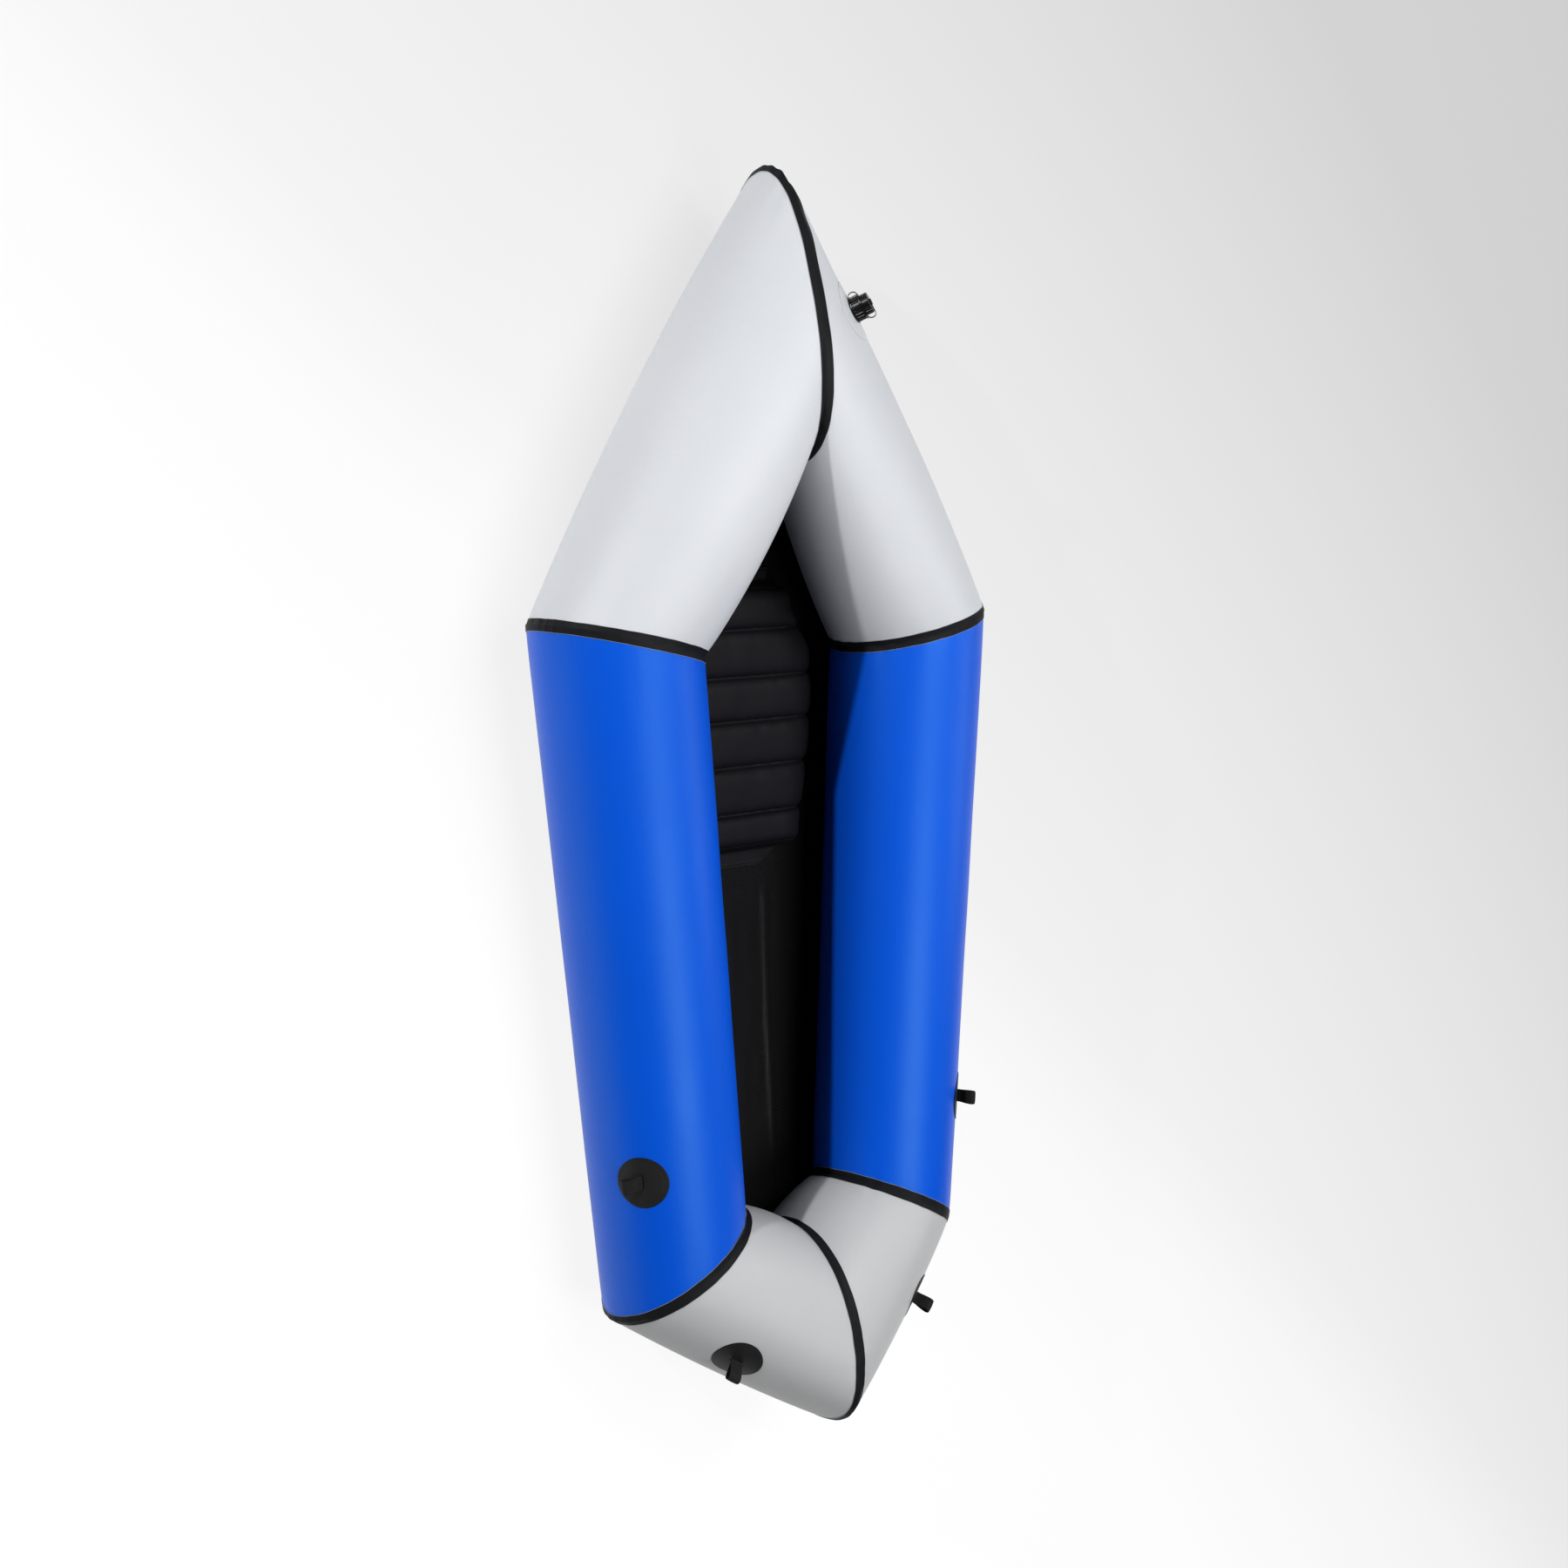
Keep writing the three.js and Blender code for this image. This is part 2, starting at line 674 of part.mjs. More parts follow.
// A fluted grip ring: ridges round a circle, over a round hole
function knurledRing(bore, radius, low, high, count) {
  const outline = new THREE.Shape();
  const steps = count * 2;
  for (let i = 0; i < steps; i++) {
    const turn = (i * 2 * Math.PI) / steps;
    const reach = i % 2 ? radius - knurlDepth : radius;
    const point = [reach * Math.cos(turn), reach * Math.sin(turn)];
    if (i) outline.lineTo(...point);
    else outline.moveTo(...point);
  }
  outline.closePath();
  const hole = new THREE.Path().absarc(0, 0, bore, 0, 2 * Math.PI, true);
  outline.holes.push(hole);
  const settings = { depth: high - low, bevelEnabled: false, curveSegments: latheSteps };
  return new THREE.ExtrudeGeometry(outline, settings).translate(0, 0, low);
}

// A strap bent like a bow in the XZ plane, between two levels at a radius, standing out by the reach
function strapBow(radius, low, high, side) {
  const outline = new THREE.Shape();
  const middle = (low + high) / 2;
  const half = (high - low) / 2;
  const root = radius - leashLugWidth / 2;
  outline.moveTo(root, low);
  outline.lineTo(radius, low);
  outline.bezierCurveTo(radius + bowReach, low, radius + bowReach, high, radius, high);
  outline.lineTo(root, high);
  outline.lineTo(root, high - leashThickness);
  outline.lineTo(radius, high - leashThickness);
  const inner = bowReach - bowWallShare * leashThickness;
  outline.bezierCurveTo(radius + inner, high - leashThickness, radius + inner, low + leashThickness,
    radius, low + leashThickness);
  outline.lineTo(root, low + leashThickness);
  outline.closePath();
  const settings = { depth: leashWidth, bevelEnabled: false, curveSegments: bowCurveSteps };
  const strap = new THREE.ExtrudeGeometry(outline, settings).translate(0, 0, -leashWidth / 2);
  strap.rotateX(Math.PI / 2);
  return side < 0 ? strap.rotateZ(Math.PI) : strap;
}

function valveBase(map) {
  const collar = lathe([[collarBore, -collarDepth], [collarRadius, -collarDepth],
    [collarRadius, collarHeight], [collarBore, collarHeight]]);
  collar.applyMatrix4(seatedMatrix(map, 0));
  const foot = -(fabricWall + facetAllowance + gap + flangeThickness);
  const middle = (collarBore + collarRadius) / 2;
  return join(collar, plate(map, circle(middle), circle(flangeRadius), foot, flangeThickness));
}

const valveGasket = () =>
  ringSolid(stubRadius + gap, collarRadius - gap, collarHeight + gap, gasketTop);

function valveBody() {
  const bars = [0, 1, 2].map((i) => {
    const bar = block(0, -spiderBarWidth / 2, -stubDepth, boreRadius + gap, spiderBarWidth / 2,
      spiderDepth - stubDepth);
    return bar.rotateZ((i * 2 * Math.PI) / 3);
  });
  const hub = new THREE.CylinderGeometry(spiderHubRadius, spiderHubRadius, spiderDepth, latheSteps / 2);
  hub.rotateX(Math.PI / 2).translate(0, 0, spiderDepth / 2 - stubDepth);
  const stemHole = new THREE.CylinderGeometry(membraneStemRadius + gap, membraneStemRadius + gap,
    overrun, latheSteps / 2);
  stemHole.rotateX(Math.PI / 2).translate(0, 0, -stubDepth);
  const core = lathe([[boreRadius, -stubDepth], [stubRadius, -stubDepth], [stubRadius, deckLevel],
    [skirtBore + gap, deckLevel], [skirtBore + gap, bodyTop], [neckRadius, bodyTop],
    [neckRadius, neckTop], [boreRadius, neckTop]]);
  const grip = knurledRing(skirtBore, bodyRadius, skirtFoot, bodyTop, knurlCount);
  return cut(join(core, grip, hub, ...bars), stemHole);
}

function valveMembrane() {
  const seat = -stubDepth - gap;
  const headFoot = spiderDepth - stubDepth + gap;
  return lathe([[0, seat - membraneThickness], [membraneRadius, seat - membraneThickness],
    [membraneRadius, seat], [membraneStemRadius, seat], [membraneStemRadius, headFoot],
    [membraneHeadRadius, headFoot], [membraneHeadRadius, headFoot + membraneThickness],
    [0, headFoot + membraneThickness]]);
}

function valveCap() {
  const core = lathe([[0, capTop], [capRadius - knurlDepth - gap, capTop],
    [capRadius - knurlDepth - gap, capFoot], [capBore, capFoot], [capBore, capTop - capRoof],
    [boreRadius - gap, capTop - capRoof], [boreRadius - gap, capTop - capRoof - capPlugDepth],
    [0, capTop - capRoof - capPlugDepth]]);
  const grip = knurledRing(capBore + gap, capRadius, capFoot, capTop - knurlDepth, knurlCount);
  const head = buttonNeckTop + buttonHeadHeight;
  const button = lathe([[0, capTop - gap], [buttonRadius, capTop - gap], [buttonRadius, buttonNeckTop],
    [buttonHeadRadius, buttonNeckTop], [buttonHeadRadius, head], [0, head]]);
  return join(core, grip, button);
}

// The first leash holds the valve body to its collar, the second holds the cap to the neck
function valveLeash() {
  const foot = skirtFoot - gap - leashThickness;
  const low = ringSolid(collarRadius + gap, bodyRadius + leashLugWidth / 2, foot, foot + leashThickness);
  const high = ringSolid(neckRadius + gap, bodyRadius + leashLugWidth / 2, valveLeashLevel,
    valveLeashLevel + leashThickness);
  return join(low, high, strapBow(bodyRadius + leashLugWidth / 2, foot,
    valveLeashLevel + leashThickness, -1));
}

function capLeash() {
  const low = ringSolid(neckRadius + gap, capRadius + leashLugWidth / 2, capLeashLevel,
    capLeashLevel + leashThickness);
  const top = capTop + gap;
  const eyelet = ringSolid(buttonRadius + gap, buttonHeadRadius + gap, top, top + leashThickness);
  const tongue = block(buttonHeadRadius, -leashWidth / 2, top, capRadius + leashLugWidth / 2,
    leashWidth / 2, top + leashThickness);
  const bow = strapBow(capRadius + leashLugWidth / 2, capLeashLevel, top + leashThickness, 1);
  return join(low, eyelet, tongue, bow);
}

function addValve() {
  const map = panelMap(panels.stern, valveAlongShare, valveAngleDegrees * degree);
  const seat = seatedMatrix(map, 0);
  const set = (name, geometry, look) => addMesh(name, geometry.applyMatrix4(seat), look);
  const patch = plate(map, circle(patchBore), circle(valvePatchRadius), gap, valvePatchThickness);
  addMesh("valve_patch", patch, greyFabric);
  addMesh("valve_base", valveBase(map), blackPlastic);
  set("valve_gasket", valveGasket(), greyRubber);
  set("valve_body", valveBody(), blackPlastic);
  set("valve_membrane", valveMembrane(), greyRubber);
  set("valve_leash", valveLeash(), blackPlastic);
  set("cap_leash", capLeash(), blackPlastic);
  set("valve_cap", valveCap(), blackPlastic);
  const hole = new THREE.CylinderGeometry(collarRadius + gap, collarRadius + gap, overrun, latheSteps);
  hole.rotateX(Math.PI / 2).applyMatrix4(seat);
  return hole;
}

// Seat inflation stem and nozzle, along X on the rear flange

const stemY = seatRear + seatFlangeLength - stemInset;
const stemCentre = new THREE.Vector3(stemStart, stemY,
  floorLevel(stemY + stemRadius) + seatFlangeDepth + 2 * gap + stemRadius);

// A lathe about X instead of Z
const alongX = (geometry) => geometry.rotateY(Math.PI / 2);

// The stem is a tube with a tab that is welded down on the flange beside it
function seatStem() {
  const tube = alongX(lathe([[stemBore, 0], [stemRadius, 0], [stemRadius, stemLength],
    [stemBore, stemLength]]));
  const middle = stemLength / 2;
  const tab = block(middle - stemTabWidth / 2, -stemTabLength - stemRadius, -stemRadius,
    middle + stemTabWidth / 2, -stemBore, stemTabThickness - stemRadius);
  return join(tube, tab);
}

function seatNozzle() {
  const depth = nozzleLength / 2;
  const grip = alongX(knurledRing(stemBore, stemRadius, 0, nozzleLength, nozzleKnurls));
  const tip = alongX(lathe([[0, -nozzleTipLength], [nozzleTipRadius, -nozzleTipLength],
    [nozzleTipRadius, depth], [0, depth]]));
  return join(grip, tip);
}

function addSeat() {
  addMesh("seat_pad", seatPad(), blackFabric);
  const place = ({ x, y, z }, geometry) => geometry.translate(x, y, z);
  addMesh("seat_stem", place(stemCentre, seatStem()), blackPlastic);
  const nozzleAt = stemCentre.clone().setX(stemStart - nozzleLength - gap);
  addMesh("seat_nozzle", place(nozzleAt, seatNozzle()), blackPlastic);
}

// Assembly

function addTubes(valveHole) {
  const looks = { stern: greyFabric, side: blueFabric, bow: greyFabric };
  for (const [place, panel] of Object.entries(panels)) {
    const port = tubePanel(panel);
    addMesh("starboard_" + place + "_tube", mirrored(port), looks[place]);
    addMesh("port_" + place + "_tube", place === "stern" ? cut(port, valveHole) : port, looks[place]);
  }
}

function addTapes() {
  addMesh("stern_seam_tape", seamTape(panels.stern, 0), blackTape);
  addMesh("bow_seam_tape", seamTape(panels.bow, 1), blackTape);
  const joints = { stern: [panels.stern, panels.side], bow: [panels.side, panels.bow] };
  for (const [place, [before, after]] of Object.entries(joints)) {
    const port = jointTape(before, after);
    addMesh("port_" + place + "_joint_tape", port, blackTape);
    addMesh("starboard_" + place + "_joint_tape", mirrored(port), blackTape);
  }
}

addTubes(addValve());
addTapes();
addMesh("floor_sheet", floorSheet(), blackFabric);
addSeat();
for (const side of ["starboard", "port"]) {
  addTieDown(side, "side", panels.side, sidePatchAlongShare, sidePatchAngleDegrees * degree);
  addTieDown(side, "bow", panels.bow, bowPatchAlongShare, bowPatchAngleDegrees * degree);
}

// The origin is on the ground, in the middle of the boat's length
const extent = new THREE.Box3().setFromObject(raft);
raft.position.y = -(extent.min.y + extent.max.y) / 2;
raft.updateMatrixWorld(true);

export default raft;
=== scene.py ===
"""The looks of a one-person packraft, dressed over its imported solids.

Metres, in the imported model's frame: X to port, Y towards the pointed stern, Z up. The six inflated tube
panels, their seam tapes, the floor, the seat, the patches and the loops are surfaces worked out with numpy
over the same mitred tube ring as the solids. The screw valve and the seat's nozzle are turned from profiles.
"""

import json
import logging
import math
from dataclasses import dataclass
from enum import Enum
from typing import Callable, Sequence

import bmesh
import bpy
import numpy as np
from mathutils import Matrix, Vector


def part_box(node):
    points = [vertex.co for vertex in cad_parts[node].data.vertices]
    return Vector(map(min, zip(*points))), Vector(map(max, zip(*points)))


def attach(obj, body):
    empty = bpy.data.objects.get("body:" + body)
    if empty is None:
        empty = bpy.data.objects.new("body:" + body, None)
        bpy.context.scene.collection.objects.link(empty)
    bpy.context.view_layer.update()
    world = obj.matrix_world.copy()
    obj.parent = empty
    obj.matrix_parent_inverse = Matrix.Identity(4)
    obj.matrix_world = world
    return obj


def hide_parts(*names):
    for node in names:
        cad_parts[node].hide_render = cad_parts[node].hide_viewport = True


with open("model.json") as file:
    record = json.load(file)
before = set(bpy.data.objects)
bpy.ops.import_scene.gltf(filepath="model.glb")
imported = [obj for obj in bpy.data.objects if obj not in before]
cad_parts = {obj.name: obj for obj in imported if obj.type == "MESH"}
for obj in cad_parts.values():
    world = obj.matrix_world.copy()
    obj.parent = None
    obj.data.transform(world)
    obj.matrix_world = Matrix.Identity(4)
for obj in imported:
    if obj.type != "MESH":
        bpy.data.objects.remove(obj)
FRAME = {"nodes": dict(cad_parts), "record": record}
LOG = logging.getLogger("packraft")
Array = np.ndarray
Piece = bpy.types.Object
Color = tuple[float, float, float]
UP = np.array([0.0, 0.0, 1.0])
FULL_TURN = 2 * np.pi
TIP_START, TIP_END = 0.93, 1.14
TIP_LEAN = np.array([0.006, 0.004, 0.0])
LEAST_HEIGHT = 0.0002


# Small vector and noise helpers


def unit(vector: Array) -> Array:
    """Returns the vectors of the last axis at length one."""
    return vector / np.linalg.norm(vector, axis=-1, keepdims=True)


def dot(a: Array, b: Array) -> Array:
    """Returns the dot products over the last axis, which is kept."""
    return np.sum(a * b, axis=-1, keepdims=True)


def smooth(value: Array | float, low: float, high: float) -> Array:
    """Returns 0 below low, 1 above high and the smooth cubic step between."""
    share = np.clip((np.asarray(value, float) - low) / (high - low), 0.0, 1.0)
    return share * share * (3.0 - 2.0 * share)


def bell(value: Array, middle: float, spread: float) -> Array:
    """Returns exp(-((value - middle) / spread)^2)."""
    return np.exp(-(((np.asarray(value, float) - middle) / spread) ** 2))


def powered(value: Array, power: Array | float) -> Array:
    """Returns |value|^power with the value's sign."""
    return np.sign(value) * np.abs(value) ** power


def matched(*values: Array | float) -> list[Array]:
    """Returns the values as arrays of one shape."""
    return np.broadcast_arrays(*(np.asarray(value, float) for value in values))


def full_turn(count: int) -> Array:
    """Returns angles round a full turn, without its end."""
    return np.linspace(0, FULL_TURN, count, endpoint=False)


def travelled(points: Array) -> Array:
    """Returns the distance run from point to point along the first axis."""
    steps = np.linalg.norm(np.diff(points, axis=0), axis=-1)
    return np.concatenate([np.zeros_like(steps[:1]), np.cumsum(steps, axis=0)])


def layers(outer: Array, inner: Array) -> Array:
    """Returns rows that run out along each outer row and back along the inner one."""
    return np.concatenate([outer, inner[:, ::-1]], axis=1)


def starboard(points: Array) -> Array:
    """Returns the points mirrored to the starboard side."""
    return points * np.array([-1.0, 1.0, 1.0])


def tip_lean(points: Array) -> Array:
    """Returns points with the soft pointed end drawn a little to port and aft."""
    return points + smooth(points[..., 1:2], TIP_START, TIP_END) * TIP_LEAN


class Ripple:
    """Seeded value noise from -1 to 1: random heights on a lattice, joined by the smooth cubic step."""

    SIZE = 64

    def __init__(self, seed: int, wrap: int = SIZE) -> None:
        """Fills the lattice, whose first axis repeats after the wrap."""
        self.lattice = np.random.default_rng(seed).uniform(-1.0, 1.0, (self.SIZE, self.SIZE))
        self.wrap = wrap

    def __call__(self, x: Array, y: Array | float = 0.0) -> Array:
        """Returns the noise at places given in lattice steps."""
        x, y = matched(x, y)
        column, row = np.floor(x).astype(int), np.floor(y).astype(int)
        a, b = x - column, y - row
        a, b = a * a * (3 - 2 * a), b * b * (3 - 2 * b)
        low, high = ([self.lattice[(column + i) % self.wrap, (row + j) % self.SIZE] for i in (0, 1)]
                     for j in (0, 1))
        return (low[0] * (1 - a) + low[1] * a) * (1 - b) + (high[0] * (1 - a) + high[1] * a) * b


@dataclass(frozen=True)
class Waves:
    """Noise as a relief: a seed, a height, the step along each axis and where the lattice starts."""

    seed: int
    height: float
    x_step: float
    y_step: float
    start: float = 0.0

    def __call__(self, x: Array, y: Array) -> Array:
        """Returns the relief."""
        return self.height * Ripple(self.seed)(x / self.x_step + self.start, y / self.y_step + self.start)


# Meshes


class MeshKit:
    """Puts arrays of points into meshes whose objects sit at the origin."""

    @staticmethod
    def skin(name: str, sections: Array, uv: tuple[Array, Array] | None = None, loop: bool = False,
             ring: bool = True, sharp_degrees: float = 40.0, masks: dict[str, Array] | None = None) -> Piece:
        """Closes a skin over a row of polygons.

        Face (i, j) joins points j and j + 1 of section i to those of section i + 1. As a loop the last
        section joins the first, and otherwise a ladder of quads across the polygon closes each end.

        Args:
            name: The piece's name.
            sections: Points of shape (sections, corners, 3).
            uv: Two arrays of metres over sections and corners. The closing row and column may be left out.
            loop: Whether the last section joins the first.
            ring: Whether each section is a closed polygon. An open one starts and ends on an axis.
            sharp_degrees: Edges sharper than this stay hard.
            masks: Named values per point, of shape (sections, corners), kept as attributes.
        """
        rows, size = sections.shape[:2]
        points = sections.reshape(-1, 3)
        i, j = np.meshgrid(np.arange(rows if loop else rows - 1), np.arange(size if ring else size - 1),
                           indexing="ij")
        i, j = i.ravel(), j.ravel()
        corners = ((0, 0), (0, 1), (1, 1), (1, 0))
        faces = np.stack([((i + a) % rows) * size + (j + b) % size for a, b in corners], axis=1)
        grid = np.zeros((rows, size, 2)) if uv is None else np.stack(np.broadcast_arrays(*uv), axis=-1)
        if grid.shape[0] == rows:
            grid = np.concatenate([grid, grid[:1] if loop else grid[-1:]])
        if grid.shape[1] == size:
            grid = np.concatenate([grid, grid[:, :1]], axis=1)
        coordinates = np.stack([grid[i + a, j + b] for a, b in corners], axis=1)
        if not loop:
            k = np.arange(size // 2 - 1)
            first = np.stack([k, size - 1 - k, size - 2 - k, k + 1], axis=1)
            last = first[:, ::-1] + (rows - 1) * size
            faces = np.concatenate([faces, first, last])
            coordinates = np.concatenate([coordinates, grid[0][first], grid[rows - 1][first[:, ::-1]]])
        a, b, c, d = (points[faces[:, q]] for q in range(4))
        if np.sum(a * np.cross(b, c)) + np.sum(a * np.cross(c, d)) < 0:
            faces, coordinates = faces[:, ::-1], coordinates[:, ::-1]
        return MeshKit.quads(name, points, faces, coordinates, sharp_degrees, masks)

    @staticmethod
    def quads(name: str, points: Array, faces: Array, uv: Array, sharp_degrees: float,
              masks: dict[str, Array] | None = None) -> Piece:
        """Makes an object of quads, with coordinates per corner, smooth but for its sharp edges."""
        mesh = bpy.data.meshes.new(name)
        mesh.vertices.add(len(points))
        mesh.vertices.foreach_set("co", np.ascontiguousarray(points, np.float32).ravel())
        mesh.loops.add(faces.size)
        mesh.loops.foreach_set("vertex_index", np.ascontiguousarray(faces, np.int32).ravel())
        mesh.polygons.add(len(faces))
        mesh.polygons.foreach_set("loop_start", np.arange(0, faces.size, 4, dtype=np.int32))
        mesh.update(calc_edges=True)
        layer = mesh.uv_layers.new(name="surface")
        layer.uv.foreach_set("vector", np.ascontiguousarray(uv, np.float32).ravel())
        for label, values in (masks or {}).items():
            attribute = mesh.attributes.new(label, "FLOAT", "POINT")
            attribute.data.foreach_set("value", np.ascontiguousarray(values, np.float32).ravel())
        mesh.validate()
        piece = bpy.data.objects.new(name, mesh)
        bpy.context.scene.collection.objects.link(piece)
        return MeshKit.smoothed(piece, sharp_degrees)

    @staticmethod
    def smoothed(piece: Piece, sharp_degrees: float) -> Piece:
        """Shades a piece smooth but for its sharp edges."""
        piece.data.shade_smooth()
        piece.data.set_sharp_from_angle(angle=math.radians(sharp_degrees))
        return piece

    @staticmethod
    def close_poles(piece: Piece, sharp_degrees: float) -> Piece:
        """Merges the points that meet on a turned piece's axis."""
        work = bmesh.new()
        work.from_mesh(piece.data)
        bmesh.ops.remove_doubles(work, verts=work.verts[:], dist=1e-6)
        work.to_mesh(piece.data)
        work.free()
        return MeshKit.smoothed(piece, sharp_degrees)

    @staticmethod
    def pick(pieces: Sequence[Piece]) -> None:
        """Selects only these pieces and makes the first one active."""
        bpy.ops.object.select_all(action="DESELECT")
        for piece in pieces:
            piece.select_set(True)
        bpy.context.view_layer.objects.active = pieces[0]

    @staticmethod
    def joined(name: str, pieces: Sequence[Piece]) -> Piece:
        """Joins pieces into the first one and names it."""
        MeshKit.pick(pieces)
        bpy.ops.object.join()
        pieces[0].name = pieces[0].data.name = name
        return pieces[0]

    @staticmethod
    def area(piece: Piece) -> float:
        """Returns the area of all faces."""
        areas = np.empty(len(piece.data.polygons))
        piece.data.polygons.foreach_get("area", areas)
        return float(areas.sum())


def profile_rows(rows: Sequence[Sequence[float]], lift: float = 0.0) -> list[tuple[float, ...]]:
    """Returns a profile in metres from rows of radius and height in millimetres, grip and thread weight."""
    return [(radius / 1e3, height / 1e3 + lift, *(*weights, 0, 0)[:2]) for radius, height, *weights in rows]


def eased(points: Sequence[Sequence[float]], radius: float, steps: int = 4, ring: bool = True) -> Array:
    """Returns a profile with its corners rounded by short quadratic curves.

    Args:
        points: Corners, whose first two numbers are the place and whose others are weights.
        radius: How far from a corner its curve starts, at most 0.45 of the edge.
        steps: Points of each curve.
        ring: Whether the profile is closed. The ends of an open one stay as they are.
    """
    corners = np.array(points, float)
    curve = []
    for index, corner in enumerate(corners):
        if not ring and index in (0, len(corners) - 1):
            curve.append(corner)
            continue
        ends = []
        for other in (corners[index - 1], corners[(index + 1) % len(corners)]):
            length = np.linalg.norm(other[:2] - corner[:2])
            ends.append(corner + (other - corner) * min(radius / length, 0.45))
        for t in np.linspace(0, 1, steps):
            curve.append((1 - t) ** 2 * ends[0] + 2 * t * (1 - t) * corner + t * t * ends[1])
    return np.array(curve)


def refined(profile: Array, step: float, ring: bool = True) -> Array:
    """Returns a profile whose edges are split so that none is longer than the step."""
    rows = []
    for start, end in list(zip(profile, np.roll(profile, -1, axis=0)))[: None if ring else -1]:
        count = max(1, math.ceil(np.linalg.norm(end[:2] - start[:2]) / step))
        rows.extend(start + (end - start) * k / count for k in range(count))
    return np.array(rows if ring else [*rows, profile[-1]])


@dataclass(frozen=True)
class Place:
    """A local frame: an origin and three unit axes."""

    origin: Array
    x: Array
    y: Array
    z: Array

    def put(self, x: Array, y: Array, z: Array) -> Array:
        """Returns origin + x X + y Y + z Z for arrays of local coordinates."""
        x, y, z = (np.asarray(value, float)[..., None] for value in (x, y, z))
        return self.origin + x * self.x + y * self.y + z * self.z

    def leaning(self, turn: float) -> "Place":
        """Returns the frame turned about its own X axis."""
        y = math.cos(turn) * self.y + math.sin(turn) * self.z
        z = math.cos(turn) * self.z - math.sin(turn) * self.y
        return Place(self.origin, self.x, y, z)


@dataclass(frozen=True)
class Cuts:
    """Grip flutes and a screw thread, cut into a turned piece where its profile has the weights."""

    flutes: int = 24
    flute_depth: float = 0.0015
    thread_pitch: float = 0.0022
    thread_depth: float = 0.0008

    def depth(self, turn: Array, height: Array, grip: Array, thread: Array) -> Array:
        """Returns how deep the surface is cut.

        A flute is one less the smooth step of (1 + cos(n turn)) / 2 from 0.2 to 0.6. A thread is
        (1 + cos(2 pi height / pitch - turn)) / 2.
        """
        ridge = smooth(0.5 + 0.5 * np.cos(self.flutes * turn), 0.2, 0.6)
        spiral = 0.5 + 0.5 * np.cos(FULL_TURN * height / self.thread_pitch - turn)
        return grip * self.flute_depth * (1 - ridge) + thread * self.thread_depth * spiral


def turned(name: str, place: Place, profile: Array, cuts: Cuts, steps: int, ring: bool = True) -> Piece:
    """Turns a profile, closed or open with both ends on the axis, about a place's Z axis."""
    turn = full_turn(steps)[:, None]
    radius, height, grip, thread = profile.T[:, None]
    reach = np.maximum(radius - cuts.depth(turn, height, grip, thread), 0.0)
    sections = place.put(reach * np.cos(turn), reach * np.sin(turn), height + 0 * turn)
    around = np.linspace(0, FULL_TURN, steps + 1) * profile[:, 0].max()
    uv = (around[:, None], travelled(profile[:, :2])[None, :])
    piece = MeshKit.skin(name, sections, uv, loop=True, ring=ring, sharp_degrees=35)
    return piece if ring else MeshKit.close_poles(piece, 35)


def thread_run(name: str, path: Array, up: Array, radius: float) -> Piece:
    """Sweeps a round thread along a path, with sections laid out from a direction square to it."""
    side = unit(np.cross(unit(np.gradient(path, axis=0)), up))
    turn = full_turn(6)[None, :, None]
    ring = np.cos(turn) * side[:, None] + np.sin(turn) * up
    return MeshKit.skin(name, path[:, None] + radius * ring, sharp_degrees=80)


# The tube ring


class Side(Enum):
    """The two halves of the boat, by the sign of X."""

    PORT = 1
    STARBOARD = -1

    @property
    def word(self) -> str:
        """Returns the word that the nodes' names start with."""
        return self.name.lower()

    def place(self, points: Array) -> Array:
        """Returns port-side points on this side."""
        return points if self is Side.PORT else starboard(points)


def radial(axis: Array, angle: Array) -> Array:
    """Returns unit vectors square to an axis: cos(angle) outboard + sin(angle) rising."""
    outboard = unit(np.cross(UP, axis))
    angle = np.asarray(angle, float)[..., None]
    return np.cos(angle) * outboard + np.sin(angle) * np.cross(axis, outboard)


@dataclass(frozen=True)
class RoundEdge:
    """A round tube's edge, each point slid along the tube to its mitre plane."""

    centre: Array
    axis: Array
    plane: Array
    radius: float

    def __call__(self, angle: Array) -> Array:
        """Returns the edge's points: centre + radius r(angle) + axis (-r . plane / axis . plane)."""
        offset = self.radius * radial(self.axis, angle)
        slide = -dot(offset, self.plane) / np.dot(self.axis, self.plane)
        return self.centre + offset + slide * self.axis


@dataclass(frozen=True)
class OvalShape:
    """The sizes of a middle seam's oval, whose upper half has a fullness towards each end."""

    half_length: float
    half_depth: float
    tilt: float
    fullness_aft: float
    fullness_fore: float
    skew: float


@dataclass(frozen=True)
class OvalEdge:
    """An oval edge in the boat's middle plane."""

    centre: Array
    axis: Array
    shape: OvalShape

    def __call__(self, angle: Array) -> Array:
        """Returns the points where the oval's normal matches the tube's normal at each angle."""
        s = self.shape
        long = np.array([0.0, math.cos(s.tilt), math.sin(s.tilt)])
        short = np.array([0.0, -math.sin(s.tilt), math.cos(s.tilt)])
        normal = radial(self.axis, angle)
        turn = np.arctan2(s.half_depth * normal @ short, s.half_length * normal @ long)
        c, d = np.cos(turn), np.sin(turn)
        power = np.where(d > 0, np.where(c > 0, s.fullness_aft, s.fullness_fore), 1.0)
        lean = np.where(d > 0, 1.0 - s.skew * c, 1.0)
        along = s.half_length * powered(c, power)
        across = s.half_depth * powered(d, power) * lean
        return self.centre + along[..., None] * long + across[..., None] * short


